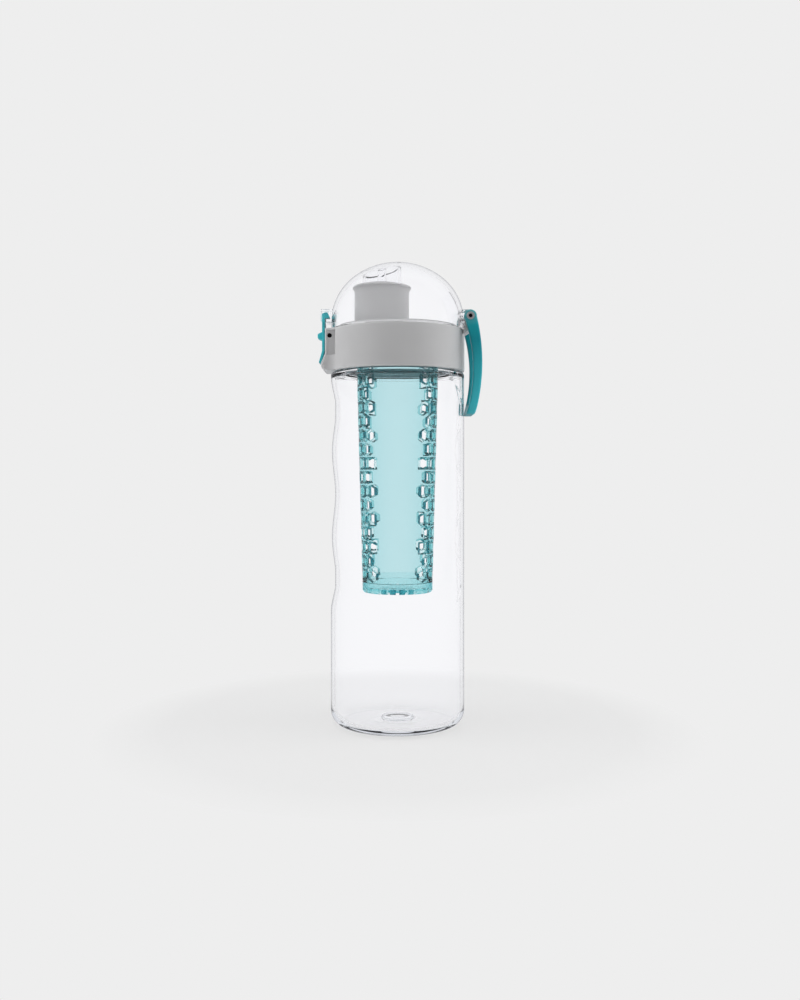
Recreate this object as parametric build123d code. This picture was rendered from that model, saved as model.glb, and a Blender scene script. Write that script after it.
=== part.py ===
from build123d import *
import math
import os

# Fruit infuser water bottle, in millimetres. The origin is on the bottle's axis at the plane it
# stands on, +Z is up, +X is towards the hinge and the carry loop, and -X is towards the latch.

# Driving sizes of the bottle
body_radius = 36.3
body_wall = 1.8
base_thickness = 3.2
base_corner_radius = 8.0
shoulder_height = 191.2
shoulder_radius = 1.7
shoulder_slope = 1.2
neck_step = 5.1
neck_wall = 2.2
neck_height = 16.8
neck_radius = body_radius - neck_step
neck_bore = neck_radius - neck_wall
mouth_height = shoulder_height + neck_height

# Moulding point in the middle of the base
gate_radius = 8.6
gate_rise = 1.4
gate_recess = 1.0

# Finger grooves, which fade out into a straight back under the hinge
groove_count = 3
groove_pitch = 50.0
groove_depth = 2.3
crest_depth = 0.55
grip_head = 14.0
grip_foot = 14.0
grip_shoulder_gap = 0.5
back_offset = 12.7
back_radius_drop = 9.3
grip_top = shoulder_height - shoulder_radius - grip_shoulder_gap
highest_groove_height = grip_top - grip_head
lowest_groove_height = highest_groove_height - groove_pitch * (groove_count - 1)
grip_bottom = lowest_groove_height - grip_foot

# Screw thread of the neck and the lid
thread_pitch = 4.5
thread_turns = 1.25
thread_height = 1.4
thread_root_width = 1.9
thread_crest_width = 1.1
thread_rise = 7.0
thread_gap = 0.4
thread_bottom = shoulder_height + thread_rise

# Silicone ring that the lid presses on the mouth
gasket_thickness = 1.6
gasket_seat_gap = 0.05
gasket_bottom = mouth_height + gasket_seat_gap
gasket_top = gasket_bottom + gasket_thickness + gasket_seat_gap

# Threaded skirt of the inner lid, and the thin seal on its edge
deck_gap = 0.3
deck_skirt_wall = 1.4
deck_skirt_lift = 1.5
deck_shelf_thickness = 2.3
deck_seal_thickness = 0.8
deck_seal_width = 1.0
skirt_inner = neck_radius + thread_height + thread_gap
skirt_outer = skirt_inner + deck_skirt_wall
deck_shelf_top = gasket_top + deck_shelf_thickness

# Lid shell, which takes its inside from the inner lid
collar_wall = 1.8
collar_lift = 0.5
collar_lip_width = 1.7
collar_lip_thickness = 1.5
collar_edge_radius = 0.6
collar_inner = skirt_outer + deck_gap
collar_radius = collar_inner + collar_wall
collar_lip_radius = collar_inner - collar_lip_width
collar_bottom = shoulder_height + collar_lift
collar_top = deck_shelf_top + deck_seal_thickness + collar_lip_thickness

# Dome, which stands on the lid shell
dome_inset = 0.2
dome_gap = 0.3
dome_wall = 1.8
dome_rim_height = 3.8
dome_height_share = 0.9036
dome_side_share = 0.854
dome_radius = collar_radius - dome_inset
dome_height = dome_radius * dome_height_share
dome_side_radius = dome_radius * dome_side_share

# Raised deck of the inner lid, and its spout
deck_rise = 2.2
deck_plate_thickness = 2.2
deck_edge_gap = 0.8
spout_radius = 14.9
spout_wall = 2.0
spout_lip_width = 1.2
spout_lip_height = 1.8
spout_height = 21.8
spout_dome_inset = 11.6
deck_top = collar_top + deck_rise
deck_under = deck_top - deck_plate_thickness
spout_bore = spout_radius - spout_wall
spout_lip_radius = spout_radius + spout_lip_width
spout_offset = dome_radius - spout_dome_inset - spout_lip_radius
spout_top = deck_top + spout_height

# Infuser and its socket under the inner lid
socket_gap = 0.3
socket_wall = 1.5
socket_depth = 16.0
infuser_inset = 6.7
infuser_taper = 3.3
infuser_wall = 2.0
infuser_top_gap = 2.0
infuser_reach = 144.5
stop_flange_width = 1.7
stop_flange_thickness = 2.0
neck_band_height = 18.0
rim_bead_width = 0.5
rim_bead_height = 1.4
rim_bead_count = 2
rim_bead_gap = 1.0
rim_bead_pitch = 2.5
seal_groove_depth = 0.9
seal_groove_drop = 6.5
seal_gap = 0.02
infuser_top_radius = neck_bore - infuser_inset
infuser_bottom_radius = infuser_top_radius - infuser_taper
infuser_top = deck_under - infuser_top_gap
infuser_bottom = deck_top - infuser_reach
socket_inner = infuser_top_radius + socket_gap
socket_outer = socket_inner + socket_wall
socket_bottom = deck_under - socket_depth

# Holes of the basket, in rows between the lowest and the highest
hole_rows = 15
hole_columns_per_turn = 16
wide_row_columns = 5
hole_bridge = 1.66
bottom_hole_rise = 9.4
hole_top_drop = 28.9
lowest_hole_height = infuser_bottom + bottom_hole_rise
highest_hole_height = deck_top - hole_top_drop
hole_row_pitch = (highest_hole_height - lowest_hole_height) / (hole_rows - 1)
hole_width = math.tau * infuser_bottom_radius / hole_columns_per_turn - hole_bridge
hole_height = hole_width / math.cos(math.radians(30))

# Bottom cap of the basket
base_cap_height = 5.5
base_cap_floor = 2.6
base_cap_spigot = 3.5
base_cap_gap = 0.1
base_slot_count = 24
base_slot_width = 1.8
base_slot_length = 10.5

# Plug tube of the dome, over the spout
plug_ring_gap = 2.3
plug_tube_wall = 1.4
plug_depth = 1.4
plug_post_radius = 2.4
plug_post_wall = 0.9
plug_tube_radius = spout_bore - plug_ring_gap
plug_tube_bottom = spout_top - plug_depth

# Silicone cup on the plug tube
cup_floor = 1.4
cup_height = 3.4
cup_top_gap = 0.5
cup_top_drop = 0.6
cup_draft = 1.2
cup_fit_gap = 0.05

# Air valve on the deck, beside the socket
vent_socket_gap = 0.3
vent_nub_radius = 1.2
vent_nub_height = 2.4
vent_flange_radius = 2.3
vent_flange_thickness = 0.9
vent_stem_radius = 0.9
vent_gap = 0.05
vent_place = socket_outer + vent_socket_gap + vent_nub_radius

# Hinge of the dome and the loop
hinge_offset = 2.3
hinge_rise = 5.9
hinge_pin_radius = 1.5
pin_running_gap = 0.05
pin_fixed_gap = 0.02
knuckle_radius = 3.0
knuckle_half_width = 7.7
knuckle_top_rise = 4.7
knuckle_bottom_drop = 2.0
ear_gap = 0.3
ear_thickness = 3.4
ear_radius = 2.9
ear_foot_drop = 10.5
ear_foot_width = 5.0
pin_end_gap = 0.3
pin_head_radius = 2.1
pin_head_thickness = 0.7
pin_bore_radius = 1.0
pin_bore_depth = 1.0
hinge_place = collar_radius + hinge_offset
hinge_height = collar_top + hinge_rise
ear_inner = knuckle_half_width + ear_gap
ear_outer = ear_inner + ear_thickness

# Rib inside the dome, measured from the hinge
rib_thickness = 2.0
rib_top_reach = 14.6
rib_top_rise = 11.5
rib_middle_reach = 12.3
rib_middle_rise = 6.1
rib_bottom_reach = 10.2
rib_bottom_drop = 1.8

# Carry loop
loop_gap = 0.4
loop_arm = 4.8
loop_eye_radius = 3.4
loop_length = 52.2
loop_width = 4.8
loop_bulge = 6.3
loop_upper_bulge = 6.3
loop_foot_offset = 2.6
loop_bar_height = 6.0
loop_corner_radius = 6.0
loop_window_radius = 4.0
loop_inner = ear_outer + loop_gap
loop_outer = loop_inner + loop_arm

# Latch housing on the collar
housing_depth = 4.5
housing_half_width = 12.4
housing_floor = 3.0
housing_chamfer = 1.6
cheek_recess_depth = 0.5
cheek_recess_reach = 1.5
cheek_recess_rise = 8.3
cheek_recess_inset = 1.2
housing_reach = collar_radius + housing_depth

# Latch lever on its pin
latch_inset = 0.1
latch_drop = 4.0
latch_pin_radius = 1.25
latch_pin_inset = 0.8
lever_half_width = 5.6
lever_side_gap = 0.4
lever_boss_radius = 2.1
lever_thickness = 1.5
lever_stand = 2.9
lever_bend_drop = 7.6
lever_foot_drop = 14.0
lever_foot_kick = 1.8
lever_web_rise = 1.9
bump_rise = 2.5
bump_half_width = 4.0
bump_low_drop = 0.6
bump_high_rise = 2.8
bump_slope = 1.0
latch_place = collar_radius - latch_inset
latch_height = collar_top - latch_drop
lever_back = collar_radius + lever_stand
lever_front = lever_back + lever_thickness
channel_half_width = lever_half_width + lever_side_gap

# Catch on the dome, and the lever's hook in it
catch_lift = 4.1
catch_cheek = 1.2
catch_gap = 0.1
catch_front_gap = 0.5
catch_roof = 1.1
ledge_depth = 2.3
ledge_thickness = 1.4
hook_gap = 0.6
hook_height = 3.1
hook_room = 0.7
hook_dome_gap = 0.45
hook_tip_height = 0.8
catch_bottom = collar_top + catch_lift
ledge_top = catch_bottom + ledge_thickness
hook_underside = ledge_top + hook_gap
hook_top = hook_underside + hook_height
catch_top = hook_top + hook_room + catch_roof
catch_reach = lever_front + catch_front_gap

# Coil spring behind the lever
spring_drop = 6.0
spring_radius = 2.0
spring_wire_radius = 0.2
spring_coils = 2.5
spring_seat_gap = 0.02

# Length that lets a cut run past the surface it opens
overrun = 1.0


def turned(*edges):
    """Solid of revolution about Z from a closed outline in radius and height."""
    return revolve(Plane.XZ * make_face(edges), Axis.Z)


def disc(radius, bottom, top, inner_radius=0, place=0):
    """Disc or ring between two heights, with its axis at X = place."""
    span = top - bottom
    solid = Cylinder(radius, span)
    if inner_radius:
        solid -= Cylinder(inner_radius, span + overrun)
    return Pos(place, 0, bottom + span / 2) * solid


def cross_rod(radius, place, height, half_length, inner_radius=0):
    """Round bar along Y."""
    bar = Cylinder(radius, half_length * 2)
    if inner_radius:
        bar -= Cylinder(inner_radius, half_length * 2 + overrun)
    return Pos(place, 0, height) * Rot(90, 0, 0) * bar


def block(x_low, x_high, half_width, z_low, z_high):
    """Box that is centred across Y."""
    middle = Pos((x_low + x_high) / 2, 0, (z_low + z_high) / 2)
    return middle * Box(x_high - x_low, half_width * 2, z_high - z_low)


def slab(points, half_width):
    """Solid with this outline in X and Z, centred across Y."""
    return extrude(Plane.XZ * make_face(Polyline(*points, close=True)), half_width, both=True)


def thread_ridge(root_radius, outward, bottom, phase):
    """One turned ridge of the screw thread, standing out of or into a round wall."""
    side = 1 if outward else -1
    path = Helix(thread_pitch, thread_pitch * thread_turns, root_radius)
    sunk = -side * thread_gap
    crest = side * thread_height
    outline = Polyline(
        (sunk, -thread_root_width / 2),
        (crest, -thread_crest_width / 2),
        (crest, thread_crest_width / 2),
        (sunk, thread_root_width / 2),
        close=True,
    )
    start = Plane(origin=path @ 0, x_dir=(1, 0, 0), z_dir=path % 0)
    ridge = sweep(start * make_face(outline), path, is_frenet=True)
    return Rot(0, 0, phase) * Pos(0, 0, bottom) * ridge


def wave_edge(inset):
    """Waved line of the finger grooves in radius and height, this far inside the body."""
    valley = body_radius - groove_depth - inset
    crest = body_radius - crest_depth - inset
    points = [(body_radius - inset, grip_bottom)]
    for number in range(groove_count):
        height = lowest_groove_height + number * groove_pitch
        points.append((valley, height))
        if number < groove_count - 1:
            points.append((crest, height + groove_pitch / 2))
    points.append((body_radius - inset, grip_top))
    return Spline(*points)


def groove_cutter(inset):
    """What the finger grooves take off: a ring with a waved bore, less the straight back."""
    wave = wave_edge(inset)
    outer = body_radius - inset + body_wall
    ring = turned(
        wave,
        Line(wave @ 1, (outer, grip_top)),
        Line((outer, grip_top), (outer, grip_bottom)),
        Line((outer, grip_bottom), wave @ 0),
    )
    drop = back_radius_drop
    shifted = Pos(-drop, 0) * wave
    core = body_radius - inset - groove_depth - drop * 2
    column = turned(
        shifted,
        Line(shifted @ 1, (core, grip_top)),
        Line((core, grip_top), (core, grip_bottom)),
        Line((core, grip_bottom), shifted @ 0),
    )
    return ring - Pos(back_offset, 0, 0) * column


def make_bottle_body():
    """Clear bottle: one blown wall, waved by the grooves, with a threaded neck."""
    shoulder_start = shoulder_height - shoulder_radius
    outside = turned(
        Line((0, 0), (body_radius - base_corner_radius, 0)),
        RadiusArc(
            (body_radius - base_corner_radius, 0),
            (body_radius, base_corner_radius),
            -base_corner_radius,
        ),
        Line((body_radius, base_corner_radius), (body_radius, shoulder_start)),
        RadiusArc(
            (body_radius, shoulder_start),
            (body_radius - shoulder_radius, shoulder_height),
            -shoulder_radius,
        ),
        Line((body_radius - shoulder_radius, shoulder_height), (neck_radius, shoulder_height)),
        Line((neck_radius, shoulder_height), (neck_radius, mouth_height)),
        Line((neck_radius, mouth_height), (0, mouth_height)),
        Line((0, mouth_height), (0, 0)),
    )
    inner = body_radius - body_wall
    bore = neck_bore
    corner = base_corner_radius - body_wall
    shoulder_inside = shoulder_height - body_wall
    inside = turned(
        Line((0, base_thickness), (inner - corner, base_thickness)),
        RadiusArc((inner - corner, base_thickness), (inner, base_thickness + corner), -corner),
        Line((inner, base_thickness + corner), (inner, shoulder_inside - shoulder_slope)),
        Line((inner, shoulder_inside - shoulder_slope), (bore, shoulder_inside)),
        Line((bore, shoulder_inside), (bore, mouth_height + overrun)),
        Line((bore, mouth_height + overrun), (0, mouth_height + overrun)),
        Line((0, mouth_height + overrun), (0, base_thickness)),
    )
    outside -= groove_cutter(0)
    inside -= groove_cutter(body_wall)
    bottle = outside - inside
    gate_low = base_thickness - gate_recess
    bottle += disc(gate_radius, gate_low, base_thickness + gate_rise)
    bottle -= disc(gate_radius - gate_recess, -overrun, gate_recess)
    return bottle + thread_ridge(neck_radius, True, thread_bottom, 0)


def make_mouth_gasket():
    """Silicone ring on the bottle's mouth."""
    return disc(neck_radius, gasket_bottom, gasket_bottom + gasket_thickness, neck_bore)


def make_collar():
    """Outer shell of the lid, with the latch housing and the hinge ears."""
    shell = disc(collar_radius, collar_bottom, collar_top)
    shell = fillet(shell.edges().filter_by(GeomType.CIRCLE), collar_edge_radius)
    inside_shell = collar_inner - collar_wall
    housing = slab(
        [
            (-inside_shell, collar_top),
            (-housing_reach, collar_top),
            (-housing_reach, collar_bottom + housing_chamfer),
            (-housing_reach + housing_chamfer, collar_bottom),
            (-inside_shell, collar_bottom),
        ],
        housing_half_width,
    )
    shell += housing
    foot_low = hinge_height - ear_foot_drop
    ear_left = hinge_place - ear_radius
    ears = cross_rod(ear_radius, hinge_place, hinge_height, ear_outer)
    ears += slab(
        [
            (ear_left, hinge_height),
            (hinge_place + ear_radius, hinge_height),
            (ear_left + ear_foot_width, hinge_height - ear_foot_drop / 2),
            (inside_shell, foot_low),
            (inside_shell, collar_top - collar_edge_radius),
            (ear_left, collar_top - collar_edge_radius),
        ],
        ear_outer,
    )
    between = block(
        0,
        hinge_place + ear_radius + overrun,
        ear_inner,
        foot_low - overrun,
        hinge_height + ear_radius + overrun,
    )
    shell += ears - between
    shell -= disc(collar_inner, collar_bottom - overrun, collar_top - collar_lip_thickness)
    shell -= disc(collar_lip_radius, collar_bottom, collar_top + overrun)
    channel = block(
        -housing_reach - overrun,
        -collar_radius,
        channel_half_width,
        collar_bottom + housing_floor,
        collar_top + overrun,
    )
    boss_reach = lever_boss_radius + deck_gap
    boss_room = block(
        -collar_radius - overrun,
        -inside_shell,
        channel_half_width,
        latch_height - boss_reach,
        latch_height + boss_reach,
    )
    shell -= channel
    shell -= boss_room
    recess_face = housing_half_width - cheek_recess_depth
    recess = block(
        -collar_radius - cheek_recess_reach,
        -collar_inner,
        housing_half_width + overrun,
        collar_bottom + cheek_recess_rise,
        collar_top - cheek_recess_inset,
    ) - block(
        -housing_reach - overrun,
        0,
        recess_face,
        collar_bottom,
        collar_top + overrun,
    )
    shell -= recess
    pin_hole = latch_pin_radius + pin_fixed_gap
    shell -= cross_rod(pin_hole, -latch_place, latch_height, housing_half_width + overrun)
    shell -= cross_rod(hinge_pin_radius + pin_fixed_gap, hinge_place, hinge_height, ear_outer + overrun)
    return shell


def make_deck():
    """Inner lid: threaded skirt, raised deck, drinking spout and infuser socket."""
    under = deck_under
    raised = collar_lip_radius - deck_edge_gap
    skirt_bottom = collar_bottom + deck_skirt_lift
    deck = turned(
        Polyline(
            (0, deck_top),
            (raised, deck_top),
            (raised, deck_shelf_top),
            (skirt_outer, deck_shelf_top),
            (skirt_outer, skirt_bottom),
            (skirt_inner, skirt_bottom),
            (skirt_inner, gasket_top),
            (neck_bore, gasket_top),
            (neck_bore, under),
            (0, under),
            close=True,
        )
    )
    deck = fillet(deck.edges().group_by(Axis.Z)[-1], collar_edge_radius)
    deck += thread_ridge(skirt_inner, False, thread_bottom - thread_pitch / 2, 0)
    deck += disc(socket_outer, socket_bottom, under + overrun, socket_inner)
    flare_low = spout_top - spout_lip_height * 2
    spout = turned(
        Line((0, under), (spout_radius, under)),
        Line((spout_radius, under), (spout_radius, flare_low)),
        RadiusArc(
            (spout_radius, flare_low),
            (spout_lip_radius, spout_top - spout_lip_height / 2),
            spout_lip_height * 2,
        ),
        RadiusArc(
            (spout_lip_radius, spout_top - spout_lip_height / 2),
            (spout_lip_radius - spout_lip_height / 2, spout_top),
            -spout_lip_height / 2,
        ),
        Line((spout_lip_radius - spout_lip_height / 2, spout_top), (0, spout_top)),
        Line((0, spout_top), (0, under)),
    )
    deck += Pos(-spout_offset, 0, 0) * spout
    deck -= disc(spout_bore, under - overrun, spout_top + overrun, place=-spout_offset)
    stem_hole = vent_stem_radius + vent_gap
    deck -= disc(stem_hole, under - overrun, deck_top + overrun, place=vent_place)
    boss_reach = lever_boss_radius + deck_gap
    return deck - block(
        -skirt_outer - overrun,
        boss_reach - latch_place,
        channel_half_width,
        latch_height - boss_reach,
        latch_height + boss_reach,
    )


def make_deck_seal():
    """Thin silicone ring between the collar's lip and the inner lid's edge."""
    top = deck_shelf_top + deck_seal_thickness
    return disc(skirt_outer, deck_shelf_top, top, skirt_outer - deck_seal_width)


def make_vent_valve():
    """Silicone air valve: a nub on a flange, a stem through the deck and a catch below."""
    under = deck_under
    flange_top = deck_top + vent_flange_thickness
    valve = disc(vent_flange_radius, deck_top, flange_top, place=vent_place)
    valve += disc(vent_nub_radius, deck_top, deck_top + vent_nub_height, place=vent_place)
    valve += disc(vent_stem_radius, under - vent_flange_thickness, deck_top, place=vent_place)
    return valve + disc(vent_nub_radius, under - vent_flange_thickness, under, place=vent_place)


def infuser_radius(height):
    """Outer radius of the tapered basket at a height."""
    straight_bottom = infuser_top - neck_band_height
    share = (height - infuser_bottom) / (straight_bottom - infuser_bottom)
    spread = infuser_top_radius - infuser_bottom_radius
    return infuser_bottom_radius + spread * min(share, 1)


def hole_cutters():
    """Six-sided prisms of the basket's holes, both sides, in rows that alternate."""
    step = 360 / hole_columns_per_turn
    prism = extrude(
        RegularPolygon(hole_height / 2, 6, rotation=90),
        infuser_wall * 2 + overrun,
    )
    cutters = []
    for row in range(hole_rows):
        height = lowest_hole_height + row * hole_row_pitch
        columns = wide_row_columns if row % 2 == 0 else wide_row_columns - 1
        for side in (0, 180):
            for column in range(columns):
                turn = side + (column - (columns - 1) / 2) * step
                angle = math.radians(turn)
                outward = (math.cos(angle), math.sin(angle), 0)
                across = (-math.sin(angle), math.cos(angle), 0)
                start = infuser_radius(height) - infuser_wall * 2
                origin = (start * outward[0], start * outward[1], height)
                cutters.append(Plane(origin, x_dir=across, z_dir=outward) * prism)
    return cutters


def make_basket():
    """Tapered teal tube with its holes, stop flange, rim beads and seal groove."""
    top = infuser_top
    bottom = infuser_bottom + base_cap_height
    straight_bottom = top - neck_band_height
    flange_top = socket_bottom - socket_gap
    flange_radius = infuser_top_radius + stop_flange_width
    groove_top = top - seal_groove_drop
    groove_bottom = groove_top - (seal_wire() + seal_gap) * 2
    groove_radius = infuser_top_radius - seal_groove_depth
    wall = infuser_wall
    basket = turned(
        Polyline(
            (infuser_radius(bottom), bottom),
            (infuser_top_radius, straight_bottom),
            (infuser_top_radius, flange_top - stop_flange_thickness),
            (flange_radius, flange_top - stop_flange_thickness),
            (flange_radius, flange_top),
            (infuser_top_radius, flange_top),
            (infuser_top_radius, groove_bottom),
            (groove_radius, groove_bottom),
            (groove_radius, groove_top),
            (infuser_top_radius, groove_top),
            (infuser_top_radius, top),
            (infuser_top_radius - wall, top),
            (infuser_top_radius - wall, straight_bottom),
            (infuser_radius(bottom) - wall, bottom),
            close=True,
        )
    )
    for number in range(rim_bead_count):
        bead_top = flange_top - stop_flange_thickness - rim_bead_gap
        bead_top -= number * rim_bead_pitch
        bead_radius = infuser_top_radius + rim_bead_width
        inner = infuser_top_radius - wall / 2
        basket += disc(bead_radius, bead_top - rim_bead_height, bead_top, inner)
    return basket - hole_cutters()


def make_infuser_base():
    """Bottom cap of the basket, with radial slots that run out through its edge."""
    seam = infuser_bottom + base_cap_height
    radius = infuser_radius(seam)
    edge = base_cap_floor / 2
    inner = radius - infuser_wall
    floor_top = infuser_bottom + base_cap_floor
    cap = turned(
        Line((0, infuser_bottom), (radius - edge, infuser_bottom)),
        RadiusArc((radius - edge, infuser_bottom), (radius, infuser_bottom + edge), -edge),
        Line((radius, infuser_bottom + edge), (radius, seam)),
        Line((radius, seam), (inner - base_cap_gap, seam)),
        Line((inner - base_cap_gap, seam), (inner - base_cap_gap, seam + base_cap_spigot)),
        Line(
            (inner - base_cap_gap, seam + base_cap_spigot),
            (inner - infuser_wall / 2, seam + base_cap_spigot),
        ),
        Line((inner - infuser_wall / 2, seam + base_cap_spigot), (inner - infuser_wall / 2, floor_top)),
        Line((inner - infuser_wall / 2, floor_top), (0, floor_top)),
        Line((0, floor_top), (0, infuser_bottom)),
    )
    slot_start = radius - base_slot_length
    slot_run = base_slot_length + overrun
    slot = Pos(slot_start + slot_run / 2, 0, infuser_bottom) * Box(
        slot_run, base_slot_width, base_cap_floor * 2
    )
    slots = [Rot(0, 0, number * 360 / base_slot_count) * slot for number in range(base_slot_count)]
    return cap - slots


def seal_wire():
    """Wire radius of the ring that fills the gap from the groove to the socket."""
    return (seal_groove_depth + socket_gap) / 2 - seal_gap


def make_infuser_seal():
    """Silicone ring in the basket's groove."""
    height = infuser_top - seal_groove_drop - seal_wire() - seal_gap
    ring_radius = infuser_top_radius - seal_groove_depth + seal_wire() + seal_gap
    return Pos(0, 0, height) * Torus(ring_radius, seal_wire())


def dome_outline(inset):
    """Dome as a solid on its short straight rim, this far inside its outer face."""
    base = collar_top + dome_gap
    spring = base + dome_rim_height
    side_centre = dome_radius - dome_side_radius
    cap_square = side_centre**2 + dome_height**2 - dome_side_radius**2
    cap_radius = cap_square / (dome_height - dome_side_radius) / 2
    cap_centre = spring + dome_height - cap_radius
    join = math.atan2(spring - cap_centre, side_centre)
    side = dome_side_radius - inset
    cap = cap_radius - inset
    low = base - (overrun if inset else 0)

    def on_side(angle):
        return (side_centre + side * math.cos(angle), spring + side * math.sin(angle))

    def on_cap(angle):
        return (cap * math.cos(angle), cap_centre + cap * math.sin(angle))

    top = (0, cap_centre + cap)
    return turned(
        Line((0, low), (dome_radius - inset, low)),
        Line((dome_radius - inset, low), (dome_radius - inset, spring)),
        ThreePointArc((dome_radius - inset, spring), on_side(join / 2), on_side(join)),
        ThreePointArc(on_side(join), on_cap((join + math.pi / 2) / 2), top),
        Line(top, (0, low)),
    )


def make_dome():
    """Clear dome with its knuckle, catch, plug tube, post and inner rib."""
    solid = dome_outline(0)
    hollow = dome_outline(dome_wall)
    knuckle_top = hinge_height + knuckle_top_rise
    knuckle_low = hinge_height - knuckle_bottom_drop
    reach = hinge_place + knuckle_radius - knuckle_top_rise / 2
    arm = slab(
        [
            (dome_radius - dome_wall * 2, knuckle_low),
            (hinge_place, knuckle_low),
            (reach, knuckle_low),
            (reach, knuckle_top),
            (dome_radius - dome_wall * 2, knuckle_top),
        ],
        knuckle_half_width,
    )
    solid += arm
    solid += cross_rod(knuckle_radius, hinge_place, hinge_height, knuckle_half_width)
    inner_half = channel_half_width
    outer_half = inner_half + catch_cheek
    catch_root = -dome_radius + dome_wall * 2
    catch = block(-catch_reach, catch_root, outer_half, catch_bottom, catch_top)
    ledge_reach = dome_radius + ledge_depth
    catch -= block(
        -catch_reach - overrun,
        -dome_radius - catch_gap,
        inner_half,
        ledge_top,
        catch_top - catch_roof,
    )
    catch -= block(
        -catch_reach - overrun,
        -ledge_reach,
        inner_half,
        catch_bottom - overrun,
        ledge_top + overrun,
    )
    solid += catch
    solid -= hollow
    wall_skin = dome_outline(dome_wall / 2)
    tube = disc(
        plug_tube_radius,
        plug_tube_bottom,
        collar_top + dome_height + dome_rim_height,
        plug_tube_radius - plug_tube_wall,
        -spout_offset,
    )
    post = disc(
        plug_post_radius,
        plug_tube_bottom,
        collar_top + dome_height + dome_rim_height,
        plug_post_radius - plug_post_wall,
        -spout_offset,
    )
    solid += (tube + post) & wall_skin
    rib = slab(
        [
            (hinge_place - rib_top_reach, hinge_height + rib_top_rise),
            (hinge_place - rib_middle_reach, hinge_height + rib_middle_rise),
            (hinge_place - rib_bottom_reach, hinge_height - rib_bottom_drop),
            (dome_radius, hinge_height - rib_bottom_drop),
            (dome_radius, hinge_height + rib_top_rise),
        ],
        rib_thickness / 2,
    )
    solid += rib & wall_skin
    bore = hinge_pin_radius + pin_running_gap
    return solid - cross_rod(bore, hinge_place, hinge_height, knuckle_half_width + overrun)


def make_spout_seal():
    """Silicone cup pushed over the plug tube, with a stem inside the post."""
    bottom = plug_tube_bottom - cup_floor
    top_radius = spout_bore - cup_top_gap
    cup_top = spout_top - cup_top_drop
    fit = plug_tube_radius + cup_fit_gap
    cup = turned(
        Polyline(
            (0, bottom),
            (top_radius - cup_draft, bottom),
            (top_radius, cup_top),
            (fit, cup_top + cup_height / 2),
            (fit, plug_tube_bottom),
            (0, plug_tube_bottom),
            close=True,
        )
    )
    stem_radius = plug_post_radius - plug_post_wall - cup_fit_gap
    cup += disc(stem_radius, plug_tube_bottom, plug_tube_bottom + cup_height)
    return Pos(-spout_offset, 0, 0) * cup


def make_hinge_pin():
    """Steel pin of the dome and the loop, with a hollow rivet head at each end."""
    shank = loop_outer + pin_end_gap
    pin = cross_rod(hinge_pin_radius, hinge_place, hinge_height, shank)
    for side in (-1, 1):
        head = Pos(hinge_place, side * (shank + pin_head_thickness / 2), hinge_height)
        pin += head * Rot(90, 0, 0) * Cylinder(pin_head_radius, pin_head_thickness)
        dimple = Pos(hinge_place, side * (shank + pin_head_thickness), hinge_height)
        pin -= dimple * Rot(90, 0, 0) * Cylinder(pin_bore_radius, pin_bore_depth * 2)
    return pin


def make_carry_loop():
    """Teal loop: two bowed arms from the pin, joined by a bar at the bottom."""
    foot = hinge_height - loop_length
    outer = [
        (hinge_place + loop_eye_radius, hinge_height),
        (hinge_place + loop_bulge, hinge_height - loop_length / 2),
        (hinge_place + loop_foot_offset, foot),
    ]
    inner = [
        (hinge_place - loop_width + loop_foot_offset, foot),
        (hinge_place - loop_width + loop_upper_bulge, hinge_height - loop_length / 2),
        (hinge_place - loop_eye_radius, hinge_height),
    ]
    sides = [
        ThreePointArc(*outer),
        Line(outer[-1], inner[0]),
        ThreePointArc(*inner),
        Line(inner[-1], outer[0]),
    ]
    profile = make_face(sides)
    band = extrude(Plane.XZ * profile, loop_outer, both=True)
    band += cross_rod(loop_eye_radius, hinge_place, hinge_height, loop_outer)
    top = hinge_height + loop_eye_radius + overrun
    low_corner = loop_corner_radius
    frame_height = top - foot
    middle = (top + foot) / 2
    outline = Pos(0, middle) * Rectangle(loop_outer * 2, frame_height)
    outline = fillet(outline.vertices().group_by(Axis.Y)[0], low_corner)
    window_low = foot + loop_bar_height
    window_height = top + overrun - window_low
    window = Pos(0, window_low + window_height / 2) * Rectangle(loop_inner * 2, window_height)
    window = fillet(window.vertices().group_by(Axis.Y)[0], loop_window_radius)
    reach = hinge_place + loop_bulge + overrun
    loop = band & extrude(Plane.YZ * (outline - window), reach)
    bore = hinge_pin_radius + pin_running_gap
    return loop - cross_rod(bore, hinge_place, hinge_height, loop_outer + overrun)


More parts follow.
